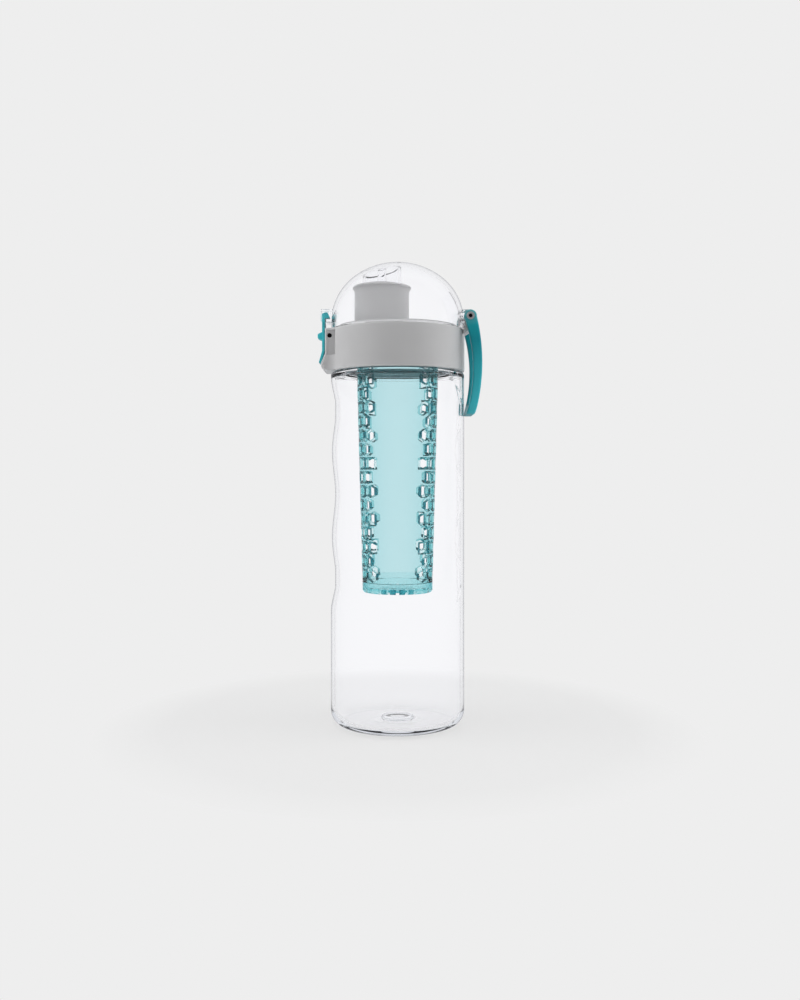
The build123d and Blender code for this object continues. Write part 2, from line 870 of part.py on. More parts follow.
def make_latch_lever():
    """Teal lever on the latch pin: hook above, thumb bump and foot below."""
    front = lever_front
    underside = hook_underside
    tip = dome_radius + hook_dome_gap
    bend = latch_height - lever_bend_drop
    foot = latch_height - lever_foot_drop
    foot_reach = front + lever_foot_kick
    bump_reach = front + bump_rise
    outline = [
        (-tip, underside),
        (-lever_back, underside),
        (-lever_back, bend),
        (-foot_reach + lever_thickness, foot),
        (-foot_reach, foot),
        (-front, bend),
        (-front, hook_top - lever_thickness / 2),
        (-lever_back, hook_top),
        (-lever_back + lever_thickness, hook_top),
        (-tip, underside + hook_tip_height),
    ]
    lever = slab(outline, lever_half_width)
    lever += cross_rod(lever_boss_radius, -latch_place, latch_height, lever_half_width)
    lever += block(
        -lever_back - lever_thickness / 2,
        -latch_place,
        lever_half_width,
        latch_height - lever_web_rise,
        latch_height + lever_web_rise,
    )
    bump = slab(
        [
            (-front + lever_thickness / 2, latch_height - bump_low_drop - bump_slope),
            (-bump_reach, latch_height - bump_low_drop),
            (-bump_reach, latch_height + bump_high_rise - bump_slope),
            (-front + lever_thickness / 2, latch_height + bump_high_rise + bump_slope / 2),
        ],
        bump_half_width,
    )
    lever += bump
    bore = latch_pin_radius + pin_running_gap
    return lever - cross_rod(bore, -latch_place, latch_height, lever_half_width + overrun)


def make_latch_pin():
    """Dark pin through the housing's cheeks and the lever."""
    half = housing_half_width - cheek_recess_depth - latch_pin_inset
    return cross_rod(latch_pin_radius, -latch_place, latch_height, half)


def make_latch_spring():
    """Coil spring between the collar's wall and the lever."""
    wire = spring_wire_radius
    wall_side = math.sqrt(collar_radius**2 - spring_radius**2) + spring_seat_gap
    length = lever_back - wall_side - spring_seat_gap - wire * 2
    path = Helix(length / spring_coils, length, spring_radius)
    start = Plane(origin=path @ 0, x_dir=(1, 0, 0), z_dir=path % 0)
    coil = sweep(start * Circle(wire), path, is_frenet=True)
    height = latch_height - spring_drop
    return Pos(-wall_side - wire, 0, height) * Rot(0, -90, 0) * coil


nodes = {
    "bottle_body": make_bottle_body,
    "mouth_gasket": make_mouth_gasket,
    "lid_collar": make_collar,
    "spout_deck": make_deck,
    "deck_seal": make_deck_seal,
    "vent_valve": make_vent_valve,
    "infuser_basket": make_basket,
    "infuser_base": make_infuser_base,
    "infuser_seal": make_infuser_seal,
    "dome_lid": make_dome,
    "spout_seal": make_spout_seal,
    "hinge_pin": make_hinge_pin,
    "carry_loop": make_carry_loop,
    "latch_lever": make_latch_lever,
    "latch_pin": make_latch_pin,
    "latch_spring": make_latch_spring,
}

os.makedirs("parts", exist_ok=True)
for name, make in nodes.items():
    shape = make()
    export_step(shape, f"parts/{name}.step")
    print(name, len(shape.solids()), round(shape.volume))
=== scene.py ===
import bmesh
import bpy
import math
import numpy as np
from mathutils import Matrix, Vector


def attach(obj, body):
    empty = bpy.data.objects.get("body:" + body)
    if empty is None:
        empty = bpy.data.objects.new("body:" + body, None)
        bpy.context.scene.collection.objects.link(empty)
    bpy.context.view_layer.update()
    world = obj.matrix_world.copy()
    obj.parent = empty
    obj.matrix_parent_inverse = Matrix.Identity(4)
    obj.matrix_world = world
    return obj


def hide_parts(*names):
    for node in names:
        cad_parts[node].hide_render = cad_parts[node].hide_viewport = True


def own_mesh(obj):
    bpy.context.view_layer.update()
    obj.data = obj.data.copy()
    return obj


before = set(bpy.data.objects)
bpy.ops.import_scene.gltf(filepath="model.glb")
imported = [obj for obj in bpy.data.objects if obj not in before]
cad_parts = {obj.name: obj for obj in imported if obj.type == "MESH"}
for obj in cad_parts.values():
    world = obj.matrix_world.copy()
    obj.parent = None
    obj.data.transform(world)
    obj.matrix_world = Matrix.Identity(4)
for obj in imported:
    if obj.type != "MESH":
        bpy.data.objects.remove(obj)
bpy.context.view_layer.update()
collection = bpy.context.scene.collection
mm = 0.001


# The camera stands where the photograph was taken from, 57 cm in front of the bottle and level with
# its middle. The shift only places the bottle in the picture.
camera_distance = 574.0
camera_height = 138.2
camera_data = bpy.data.cameras.new("camera")
camera_data.sensor_fit = "HORIZONTAL"
camera_data.sensor_width = 36.0
camera_data.lens = 47.25
camera_data.shift_x = 0.0031
camera_data.shift_y = -0.0375
camera_data.clip_start = 0.01
camera = bpy.data.objects.new("camera", camera_data)
camera.location = (0.0, -camera_distance * mm, camera_height * mm)
camera.rotation_euler = (math.radians(90), 0, 0)
collection.objects.link(camera)
bpy.context.scene.camera = camera


# The room is pale and even. What the camera sees straight on is the photograph's light grey, what is
# seen through clear plastic is the white sheet behind the bottle, and what is mirrored is darker.
# The lamps' light doesn't pass clear plastic by itself, so the room's is stronger behind it.
white = (1, 1, 1, 1)
seen_grey = (0.855, 0.855, 0.855, 1)
sheet_white = (0.965, 0.965, 0.975, 1)
mirrored_grey = (0.4, 0.4, 0.42, 1)
open_light = 0.42
light_behind_plastic = 0.85
light_from_the_sides = 1.2
bpy.context.scene.view_settings.view_transform = "Standard"
bpy.context.scene.cycles.max_bounces = 32
bpy.context.scene.cycles.transmission_bounces = 32
bpy.context.scene.cycles.glossy_bounces = 12
world = bpy.data.worlds.new("pale_room")
bpy.context.scene.world = world
world.use_nodes = True
room = world.node_tree
room.nodes.clear()


def add_node(tree, kind, inputs=None, **settings):
    """Adds a node, with its settings and with values or links for its inputs."""
    node = tree.nodes.new(kind)
    for name, value in settings.items():
        setattr(node, name, value)
    for name, value in (inputs or {}).items():
        if isinstance(value, Figure):
            value = value.socket
        if isinstance(value, bpy.types.NodeSocket):
            tree.links.new(value, node.inputs[name])
        else:
            node.inputs[name].default_value = value
    return node


class Figure:
    """A number inside a node tree. Plain arithmetic on it adds Math nodes."""

    def __init__(self, tree, socket):
        self.tree = tree
        self.socket = socket

    def math(self, operation, *others):
        inputs = dict(enumerate((self,) + others))
        node = add_node(self.tree, "ShaderNodeMath", inputs, operation=operation)
        return Figure(self.tree, node.outputs[0])

    def __add__(self, other):
        return self.math("ADD", other)

    def __sub__(self, other):
        return self.math("SUBTRACT", other)

    def __mul__(self, other):
        return self.math("MULTIPLY", other)

    def __truediv__(self, other):
        return self.math("DIVIDE", other)


def ray_kinds(tree):
    """Light Path's outputs, and figures for rays that passed something clear or were bent by it."""
    kinds = add_node(tree, "ShaderNodeLightPath").outputs
    passed = Figure(tree, kinds["Is Transmission Ray"])
    bent = Figure(tree, kinds["Is Glossy Ray"]).math("MAXIMUM", passed)
    return kinds, passed, bent


def mix(tree, share, first, second):
    """Two shaders mixed, with this share of the second one."""
    return add_node(tree, "ShaderNodeMixShader", {0: share, 1: first, 2: second}).outputs[0]


def sky(color, strength=1.0):
    """Even light of the room."""
    return add_node(room, "ShaderNodeBackground", {"Color": color, "Strength": strength}).outputs[0]


kinds, passed, bent = ray_kinds(room)
heading = add_node(room, "ShaderNodeTexCoord").outputs["Generated"]
sideways = Figure(room, add_node(room, "ShaderNodeSeparateXYZ", {0: heading}).outputs[0])
windows = sideways * sideways * light_from_the_sides + light_behind_plastic
scattered = Figure(room, kinds["Diffuse Depth"]).math("GREATER_THAN", 0.5)
clear_view = mix(room, passed, sky(mirrored_grey), sky(sheet_white))
bright = mix(room, scattered, clear_view, sky(white, windows))
through = mix(room, bent, sky(white, open_light), bright)
whole = mix(room, kinds["Is Camera Ray"], through, sky(seen_grey))
add_node(room, "ShaderNodeOutputWorld", {"Surface": whole})

lamps_aim = Vector((0, 0, 0.14))
for name, place, size, power in (
    ("left_window", (-0.85, -0.1, 0.3), 0.9, 6.0),
    ("right_window", (0.85, -0.1, 0.3), 0.9, 6.0),
    ("top_sheet", (0.0, -0.1, 0.95), 0.8, 2.0),
):
    lamp_data = bpy.data.lights.new(name, "AREA")
    lamp_data.shape = "SQUARE"
    lamp_data.size = size
    lamp_data.energy = power
    lamp = bpy.data.objects.new(name, lamp_data)
    lamp.location = place
    lamp.rotation_euler = (lamps_aim - Vector(place)).to_track_quat("-Z", "Y").to_euler()
    lamp.visible_glossy = False
    lamp.visible_transmission = False
    collection.objects.link(lamp)


# The bottle is one blown shell of clear copolyester, 1.8 mm thick. Three finger grooves run round
# it and fade out towards the back, and its base has a moulding point in the middle.
body_radius = 36.3
body_wall = 1.8
base_thickness = 3.2
base_corner = 8.0
recess_radius = 7.4
recess_edge = 0.8
recess_depth = 1.0
gate_radius = 8.6
gate_rise = 1.4
gate_round = 1.0
shoulder_height = 191.2
shoulder_round = 1.7
neck_radius = 31.2
neck_wall = 2.2
mouth_height = 208.0
mouth_edge = 0.3
grip_bottom = 61.0
grip_top = 189.0
grip_head = 14.0
groove_pitch = 50.0
groove_depth = 2.3
crest_depth = 0.55
back_offset = 12.7
back_drop = 9.3
highest_groove = grip_top - grip_head
groove_places = np.arange(grip_bottom + grip_head, highest_groove + 1, groove_pitch / 2)
grip_heights = np.array([grip_bottom, *groove_places, grip_top])
grip_depths = np.array([0.0, *[groove_depth, crest_depth] * 2, groove_depth, 0.0])


def wave_depth(heights):
    """How deep the grooves are at these heights: a cubic line that leaves the wall smoothly."""
    x, y = grip_heights, grip_depths
    step = np.diff(x)
    count = len(x)
    matrix = np.zeros((count, count))
    right = np.zeros(count)
    matrix[0, :2] = 2 * step[0], step[0]
    matrix[-1, -2:] = step[-1], 2 * step[-1]
    right[0] = 6 * (y[1] - y[0]) / step[0]
    right[-1] = 6 * (y[-2] - y[-1]) / step[-1]
    for i in range(1, count - 1):
        matrix[i, i - 1 : i + 2] = step[i - 1], 2 * (step[i - 1] + step[i]), step[i]
        right[i] = 6 * ((y[i + 1] - y[i]) / step[i] - (y[i] - y[i - 1]) / step[i - 1])
    bend = np.linalg.solve(matrix, right)
    inside = np.clip(heights, x[0], x[-1])
    k = np.clip(np.searchsorted(x, inside) - 1, 0, count - 2)
    a, b, h = x[k + 1] - inside, inside - x[k], step[k]
    curve = (bend[k] * a**3 + bend[k + 1] * b**3) / (6 * h)
    curve += (y[k] / h - bend[k] * h / 6) * a + (y[k + 1] / h - bend[k + 1] * h / 6) * b
    return curve


def arc(centre, radius, start, end, steps):
    """Points of an arc in radius and height, angles in degrees."""
    turn = np.radians(np.linspace(start, end, steps + 1))
    return [(centre[0] + radius * math.cos(t), centre[1] + radius * math.sin(t)) for t in turn]


def make_mesh(name, points, faces):
    """A closed mesh from points in millimetres and faces, with its faces turned outwards."""
    mesh = bpy.data.meshes.new(name)
    mesh.from_pydata([tuple(float(c) * mm for c in p) for p in points], [], faces)
    work = bmesh.new()
    work.from_mesh(mesh)
    bmesh.ops.remove_doubles(work, verts=work.verts, dist=1e-7)
    bmesh.ops.recalc_face_normals(work, faces=work.faces)
    work.to_mesh(mesh)
    work.free()
    piece = bpy.data.objects.new(name, mesh)
    collection.objects.link(piece)
    return piece


def turned_piece(name, outline, around=192, place=(0, 0, 0), along_y=False):
    """A piece turned from an outline in radius and height. The outline closes on itself."""
    outline = [(max(r, 0.0), z) for r, z in outline]
    turn = np.linspace(0, 2 * math.pi, around, endpoint=False)
    points = []
    for r, z in outline:
        points += [(r * math.cos(t), r * math.sin(t), z) for t in turn]
    if along_y:
        points = [(x, -z, y) for x, y, z in points]
    points = [tuple(c + o for c, o in zip(point, place)) for point in points]
    rows = len(outline)
    faces = []
    for i in range(rows):
        n = (i + 1) % rows
        if outline[i][0] == 0 and outline[n][0] == 0:
            continue
        for j in range(around):
            k = (j + 1) % around
            face = [i * around + j, i * around + k, n * around + k, n * around + j]
            if outline[i][0] == 0:
                face = [i * around] + face[2:]
            elif outline[n][0] == 0:
                face = face[:2] + [n * around]
            faces.append(face)
    return make_mesh(name, points, faces)


def node_tree(name, inputs):
    """A geometry node tree with these named inputs. Gives the tree, its inputs and its output."""
    tree = bpy.data.node_groups.new(name, "GeometryNodeTree")
    tree.interface.new_socket("Geometry", in_out="INPUT", socket_type="NodeSocketGeometry")
    tree.interface.new_socket("Geometry", in_out="OUTPUT", socket_type="NodeSocketGeometry")
    for label, kind in inputs.items():
        tree.interface.new_socket(label, in_out="INPUT", socket_type="NodeSocket" + kind)
    start = tree.nodes.new("NodeGroupInput")
    end = tree.nodes.new("NodeGroupOutput")
    given = {}
    for label, kind in inputs.items():
        socket = start.outputs[label]
        given[label] = Figure(tree, socket) if kind in ("Float", "Int") else socket
    return tree, start.outputs["Geometry"], given, end.inputs["Geometry"]


def finish_tree(tree, geometry, end, materials):
    """Ends a tree in Realize Instances and a Set Material for each finish."""
    real = add_node(tree, "GeometryNodeRealizeInstances", {"Geometry": geometry})
    geometry = real.outputs[0]
    for material, selection in materials:
        inputs = {"Geometry": geometry, "Material": material}
        if selection is not None:
            inputs["Selection"] = selection
        geometry = add_node(tree, "GeometryNodeSetMaterial", inputs).outputs[0]
    tree.links.new(geometry, end)


def grown(name, base, tree, sizes):
    """Runs a node tree on a base mesh with these sizes, and leaves the result as a plain piece."""
    modifier = base.modifiers.new(name, "NODES")
    modifier.node_group = tree
    for item in tree.interface.items_tree:
        if item.item_type == "SOCKET" and item.in_out == "INPUT" and item.name in sizes:
            modifier[item.identifier] = sizes[item.name]
    bpy.context.view_layer.update()
    evaluated = base.evaluated_get(bpy.context.evaluated_depsgraph_get())
    mesh = bpy.data.meshes.new_from_object(evaluated)
    mesh.name = name
    base.modifiers.remove(modifier)
    bpy.data.objects.remove(base)
    piece = bpy.data.objects.new(name, mesh)
    collection.objects.link(piece)
    return piece


def smoothed(piece, angle=32):
    """Smooth shading, but for edges sharper than the angle in degrees."""
    piece.data.shade_smooth()
    piece.data.set_sharp_from_angle(angle=math.radians(angle))
    return piece


def set_out(piece, body, slot, *replaced, material=None):
    """Finishes a piece: its material, the body that it moves with and the node that it replaces."""
    if material is not None:
        piece.data.materials.clear()
        piece.data.materials.append(material)
    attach(piece, body)
    if replaced:
        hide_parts(*replaced)


bottle_inner = body_radius - body_wall
neck_inner = neck_radius - neck_wall
inner_corner = base_corner - body_wall
gate_top = base_thickness + gate_rise
base_ring = 22.0
lower_rings = np.linspace(12, 59, 14)
outer_rings = np.linspace(grip_bottom, grip_top, 129)
inner_rings = outer_rings[-2::-1]
outer_line = [(0.0, recess_depth)]
for across_share, depth_share in ((0, 1), (0.375, 0.7), (0.625, 0.1), (1, 0)):
    outer_line.append((recess_radius + recess_edge * across_share, recess_depth * depth_share))
outer_line += [(14.0, 0.0), (base_ring, 0.0)]
outer_line += arc((body_radius - base_corner, base_corner), base_corner, -90, 0, 14)
outer_line += [(body_radius, z) for z in (*lower_rings, *outer_rings)]
outer_line += arc(
    (body_radius - shoulder_round, shoulder_height - shoulder_round), shoulder_round, 0, 90, 6
)
outer_line += [
    (neck_radius + 0.2, shoulder_height),
    (neck_radius, shoulder_height + 0.2),
    (neck_radius, mouth_height - mouth_edge),
    (neck_radius - mouth_edge, mouth_height),
    (neck_inner + mouth_edge, mouth_height),
    (neck_inner, mouth_height - mouth_edge),
]
inner_line = [
    (neck_inner, shoulder_height - 1.5),
    (neck_inner + 0.3, shoulder_height - 1.85),
    (bottle_inner - 0.3, shoulder_height - 2.9),
]
inner_line += [(bottle_inner, z) for z in (*inner_rings, *lower_rings[::-1])]
inner_line += arc(
    (body_radius - base_corner, base_thickness + inner_corner), inner_corner, 0, -90, 12
)
gate_foot = (gate_radius + gate_round, base_thickness + gate_round)
gate_crown = (gate_radius - gate_round, gate_top - gate_round)
inner_line += [(base_ring, base_thickness)] + arc(gate_foot, gate_round, 270, 180, 4)
inner_line += arc(gate_crown, gate_round, 0, 90, 4)[1:] + [(4.0, gate_top), (0.0, gate_top)]
blank = turned_piece("bottle_blank", outer_line + inner_line)

clear_plastic = bpy.data.materials.new("clear_plastic")
clear_plastic.use_nodes = True
clear_tree = clear_plastic.node_tree
clear_shader = clear_tree.nodes["Principled BSDF"]
clear_color = (0.995, 0.995, 1.0, 1)
# Toward the silhouette the base colour turns to this grey, less so on faces that look up or down:
# painted shade along the clear plastic's edges.
painted_edge_grey = (0.48, 0.48, 0.5, 1)
rim_start = 0.78
rim_gain = 6.0
facing = add_node(clear_tree, "ShaderNodeLayerWeight", {0: 0.5}).outputs["Facing"]
rim = (Figure(clear_tree, facing) - rim_start) * rim_gain
rim = rim.math("MAXIMUM", 0.0).math("MINIMUM", 1.0)
normal = add_node(clear_tree, "ShaderNodeNewGeometry").outputs["Normal"]
upward = Figure(clear_tree, add_node(clear_tree, "ShaderNodeSeparateXYZ", {0: normal}).outputs[2])
rim = rim * (upward * upward * -0.9 + 1.0)
tint = add_node(clear_tree, "ShaderNodeMix", {"Factor": rim}, data_type="RGBA")
tint.inputs[6].default_value = clear_color
tint.inputs[7].default_value = painted_edge_grey
clear_tree.links.new(tint.outputs[2], clear_shader.inputs["Base Color"])
clear_shader.inputs["IOR"].default_value = 1.2
clear_shader.inputs["Transmission Weight"].default_value = 1.0


def noise(tree, scale, detail):
    """Noise on the piece's own coordinates."""
    where = add_node(tree, "ShaderNodeTexCoord").outputs["Object"]
    inputs = {"Vector": where, "Scale": scale, "Detail": detail}
    return Figure(tree, add_node(tree, "ShaderNodeTexNoise", inputs).outputs[0])


def roughen(tree, height, strength, distance):
    """Gives the tree's shader a bump of this height."""
    inputs = {"Height": height, "Strength": strength, "Distance": distance}
    bump = add_node(tree, "ShaderNodeBump", inputs)
    tree.links.new(bump.outputs[0], tree.nodes["Principled BSDF"].inputs["Normal"])


def fill(tree, color, density):
    """Fills the piece with colour that deepens with the length that light goes through it."""
    inputs = {"Color": color, "Density": density}
    volume = add_node(tree, "ShaderNodeVolumeAbsorption", inputs)
    tree.links.new(volume.outputs[0], tree.nodes["Material Output"].inputs["Volume"])


roughen(clear_tree, noise(clear_tree, 45.0, 1.0), 0.05, 0.5 * mm)
haze = noise(clear_tree, 160.0, 4.0) * 0.03 + 0.005
clear_tree.links.new(haze.socket, clear_shader.inputs["Roughness"])
fill(clear_tree, (0.9, 0.91, 0.925, 1), 50.0)

grip_tree, wall, sizes, end = node_tree(
    "finger_grooves",
    {
        "Grip Bottom": "Float",
        "Grip Top": "Float",
        "Groove Depth": "Float",
        "Inner Radius": "Float",
        "Back Offset": "Float",
        "Back Drop": "Float",
        "Material": "Material",
    },
)
where = add_node(grip_tree, "GeometryNodeInputPosition")
parts = add_node(grip_tree, "ShaderNodeSeparateXYZ", {0: where.outputs[0]})
x, y, z = (Figure(grip_tree, socket) for socket in parts.outputs)
radius = (x * x + y * y).math("SQRT")
height_share = (z - sizes["Grip Bottom"]) / (sizes["Grip Top"] - sizes["Grip Bottom"])
groove_line = add_node(grip_tree, "ShaderNodeFloatCurve", {"Value": height_share})
line = groove_line.mapping.curves[0]
line.points[0].location = (0, 0)
line.points[1].location = (1, 0)
for share in np.linspace(0, 1, 65)[1:-1]:
    height = grip_bottom + share * (grip_top - grip_bottom)
    depth_share = float(wave_depth(np.array([height]))[0]) / groove_depth
    line.points.new(float(share), min(max(depth_share, 0), 1))
groove_line.mapping.update()
wave = radius - Figure(grip_tree, groove_line.outputs[0]) * sizes["Groove Depth"]
side = sizes["Back Offset"] * (y / radius)
column = wave - sizes["Back Drop"]
back = sizes["Back Offset"] * (x / radius)
back = back + (column * column - side * side).math("MAXIMUM", 0.0).math("SQRT")
gripped = radius.math("MINIMUM", wave.math("MAXIMUM", back)) / radius
in_grip = z.math("GREATER_THAN", sizes["Grip Bottom"]) * z.math("LESS_THAN", sizes["Grip Top"])
hair = 0.01 * mm
on_wall = radius.math("GREATER_THAN", sizes["Inner Radius"] - hair)
moved = add_node(grip_tree, "ShaderNodeCombineXYZ", {0: x * gripped, 1: y * gripped, 2: z})
shaped = add_node(
    grip_tree,
    "GeometryNodeSetPosition",
    {"Geometry": wall, "Selection": in_grip * on_wall, "Position": moved.outputs[0]},
)
finish_tree(grip_tree, shaped.outputs[0], end, [(sizes["Material"], None)])
bottle = grown(
    "bottle_shell",
    blank,
    grip_tree,
    {
        "Grip Bottom": grip_bottom * mm,
        "Grip Top": grip_top * mm,
        "Groove Depth": groove_depth * mm,
        "Inner Radius": bottle_inner * mm,
        "Back Offset": back_offset * mm,
        "Back Drop": back_drop * mm,
        "Material": clear_plastic,
    },
)
set_out(smoothed(bottle), "bottle", "clear_wall", "bottle_body")


# The neck's screw thread is part of the blown bottle: one ridge of a turn and a quarter, which
# runs out at both ends. The lid's own thread, further down, is made by the same tree.
thread_rise = 7.0
run_out_gain = 10.0
thread_tree, strip, sizes, end = node_tree(
    "screw_thread",
    {
        "Radius": "Float",
        "Stand": "Float",
        "Sink": "Float",
        "Pitch": "Float",
        "Turns": "Float",
        "Root Width": "Float",
        "Crest Width": "Float",
        "Bottom": "Float",
        "Material": "Material",
    },
)
where = add_node(thread_tree, "GeometryNodeInputPosition")
parts = add_node(thread_tree, "ShaderNodeSeparateXYZ", {0: where.outputs[0]})
along, row = (Figure(thread_tree, socket) for socket in parts.outputs[:2])
crest = (row - 1.5).math("ABSOLUTE").math("LESS_THAN", 1.0)
upper = (row - 2.5).math("ABSOLUTE").math("LESS_THAN", 1.0) * 2.0 - 1.0
run_out = along.math("MINIMUM", (along * -1.0) + 1.0) * run_out_gain
run_out = run_out.math("MINIMUM", 1.0)
stand = (sizes["Stand"] * run_out + sizes["Sink"]) * crest - sizes["Sink"]
width = sizes["Root Width"] + (sizes["Crest Width"] - sizes["Root Width"]) * crest
lift = sizes["Bottom"] + sizes["Pitch"] * sizes["Turns"] * along + upper * width * 0.5
turn = sizes["Turns"] * along * (2 * math.pi)
ridge = sizes["Radius"] + stand
moved = add_node(
    thread_tree,
    "ShaderNodeCombineXYZ",
    {0: ridge * turn.math("COSINE"), 1: ridge * turn.math("SINE"), 2: lift},
)
wound = add_node(
    thread_tree, "GeometryNodeSetPosition", {"Geometry": strip, "Position": moved.outputs[0]}
)
finish_tree(thread_tree, wound.outputs[0], end, [(sizes["Material"], None)])


def flat_strip(name, steps, sides):
    """A closed sleeve of unit length, which a winding tree bends into a thread or a coil."""
    points = [(i / steps / mm, j / mm, 0) for i in range(steps + 1) for j in range(sides)]
    faces = []
    for i in range(steps):
        for j in range(sides):
            k = (j + 1) % sides
            faces.append([i * sides + j, i * sides + k, (i + 1) * sides + k, (i + 1) * sides + j])
    faces.append(list(range(sides))[::-1])
    faces.append([steps * sides + j for j in range(sides)])
    mesh = bpy.data.meshes.new(name)
    mesh.from_pydata([tuple(c * mm for c in p) for p in points], [], faces)
    piece = bpy.data.objects.new(name, mesh)
    collection.objects.link(piece)
    return piece


def faces_out(piece):
    """Turns the faces of a finished piece outwards and joins points that coincide."""
    work = bmesh.new()
    work.from_mesh(piece.data)
    bmesh.ops.remove_doubles(work, verts=work.verts, dist=1e-7)
    bmesh.ops.recalc_face_normals(work, faces=work.faces)
    work.to_mesh(piece.data)
    work.free()
    return piece


def screw_thread(name, radius, way, bottom, finish):
    """A thread at this radius, which stands outwards (1) or inwards (-1)."""
    ridge = grown(
        name,
        flat_strip(f"{name}_strip", 160, 4),
        thread_tree,
        {
            "Radius": radius * mm,
            "Stand": way * 1.4 * mm,
            "Sink": way * 0.2 * mm,
            "Pitch": 4.5 * mm,
            "Turns": 1.25,
            "Root Width": 1.9 * mm,
            "Crest Width": 1.1 * mm,
            "Bottom": bottom * mm,
            "Material": finish,
        },
    )
    return smoothed(faces_out(ridge))


neck_thread = screw_thread(
    "neck_thread", neck_radius, 1, shoulder_height + thread_rise, clear_plastic
)
set_out(neck_thread, "bottle", "clear_wall")


# The mouth gasket is a flat ring of soft silicone on the bottle's mouth. The lid presses on it.
def moulded_finish(name, color, rough, grain=0.12, shift=0.05):
    """Opaque moulded plastic: fine grain, a slow drift of colour and uneven gloss."""
    material = bpy.data.materials.new(name)
    material.use_nodes = True
    tree = material.node_tree
    shader = tree.nodes["Principled BSDF"]
    slow = noise(tree, 43.33, 2.0)
    blend = add_node(tree, "ShaderNodeMix", {"Factor": slow}, data_type="RGBA")
    blend.inputs[6].default_value = tuple(c * (1 - shift) for c in color) + (1,)
    blend.inputs[7].default_value = tuple(min(c * (1 + shift), 1) for c in color) + (1,)
    tree.links.new(blend.outputs[2], shader.inputs["Base Color"])
    gloss = slow * (rough * 0.5) + rough * 0.75
    tree.links.new(gloss.socket, shader.inputs["Roughness"])
    roughen(tree, noise(tree, 2080.0, 3.0), grain, 0.1 * mm)
    return material, shader


seat_gap = 0.05
gasket_thickness = 1.6
silicone, silicone_shader = moulded_finish("silicone", (0.72, 0.73, 0.74), 0.5)
silicone_shader.inputs["Subsurface Weight"].default_value = 0.15
silicone_shader.inputs["Subsurface Scale"].default_value = 2.0 * mm


def ring_outline(inner, outer, bottom, top, edge=0.25):
    """Outline of a flat ring with small rounded edges."""
    return [
        (inner, bottom + edge),
        (inner + edge, bottom),
        (outer - edge, bottom),
        (outer, bottom + edge),
        (outer, top - edge),
        (outer - edge, top),
        (inner + edge, top),
        (inner, top - edge),
    ]


gasket_bottom = mouth_height + seat_gap
gasket_line = ring_outline(
    neck_inner, neck_radius, gasket_bottom, gasket_bottom + gasket_thickness
)
gasket = turned_piece("mouth_gasket_ring", gasket_line)
set_out(smoothed(gasket), "lid_lift", "silicone", "mouth_gasket", material=silicone)


# The inner lid is one moulding of pale polypropylene: the threaded skirt, the raised deck, the
# socket for the infuser underneath and the drinking spout with its rolled lip.
# The lid's pale plastic is given a mid grey here: painted shade over its outside faces.
lid_plastic_painted_shade, pale_shader = moulded_finish("lid_plastic_outside_painted_shade", (0.5, 0.5, 0.505), 0.42, 0.08)
pale_shader.inputs["Subsurface Weight"].default_value = 0.6
pale_shader.inputs["Subsurface Radius"].default_value = (1.0, 1.0, 1.0)
pale_shader.inputs["Subsurface Scale"].default_value = 4.0 * mm


def combine(name, base, *steps):
    """One closed solid: the base, and what is added to it, cut from it or shared with it."""
    for other, operation in steps:
        change = base.modifiers.new(operation, "BOOLEAN")
        change.object = other
        change.operation = operation
        change.solver = "EXACT"
    bpy.context.view_layer.update()
    evaluated = base.evaluated_get(bpy.context.evaluated_depsgraph_get())
    mesh = bpy.data.meshes.new_from_object(evaluated)
    mesh.name = name
    for old in [base] + [other for other, operation in steps]:
        bpy.data.objects.remove(old)
    piece = bpy.data.objects.new(name, mesh)
    collection.objects.link(piece)
    return faces_out(piece)


def prism(name, outline, half_width, edge=0.0, middle=0.0):
    """A bar along Y with this outline in X and Z, and rounded edges."""
    count = len(outline)
    points = [(x, middle - half_width, z) for x, z in outline]
    points += [(x, middle + half_width, z) for x, z in outline]
    faces = [list(range(count)), list(range(count, 2 * count))]
    for i in range(count):
        k = (i + 1) % count
        faces.append([i, k, count + k, count + i])
    piece = make_mesh(name, points, faces)
    if edge:
        work = bmesh.new()
        work.from_mesh(piece.data)
        bmesh.ops.bevel(
            work, geom=work.edges[:], offset=edge * mm, segments=3, profile=0.5, affect="EDGES"
        )
        work.to_mesh(piece.data)
        work.free()
    return piece


def box_outline(x_low, x_high, z_low, z_high):
    """Four corners in X and Z."""
    return [(x_low, z_low), (x_high, z_low), (x_high, z_high), (x_low, z_high)]


def cross_rod(name, radius, place, half_length, edge=0.0, middle=0.0):
    """A round bar along Y through this place in X and Z, with its own middle in Y."""
    line = [(0.0, -half_length), (radius - edge, -half_length), (radius, edge - half_length)]
    line += [(r, -y) for r, y in line[::-1]]
    return turned_piece(name, line, 96, (place[0], middle, place[1]), along_y=True)


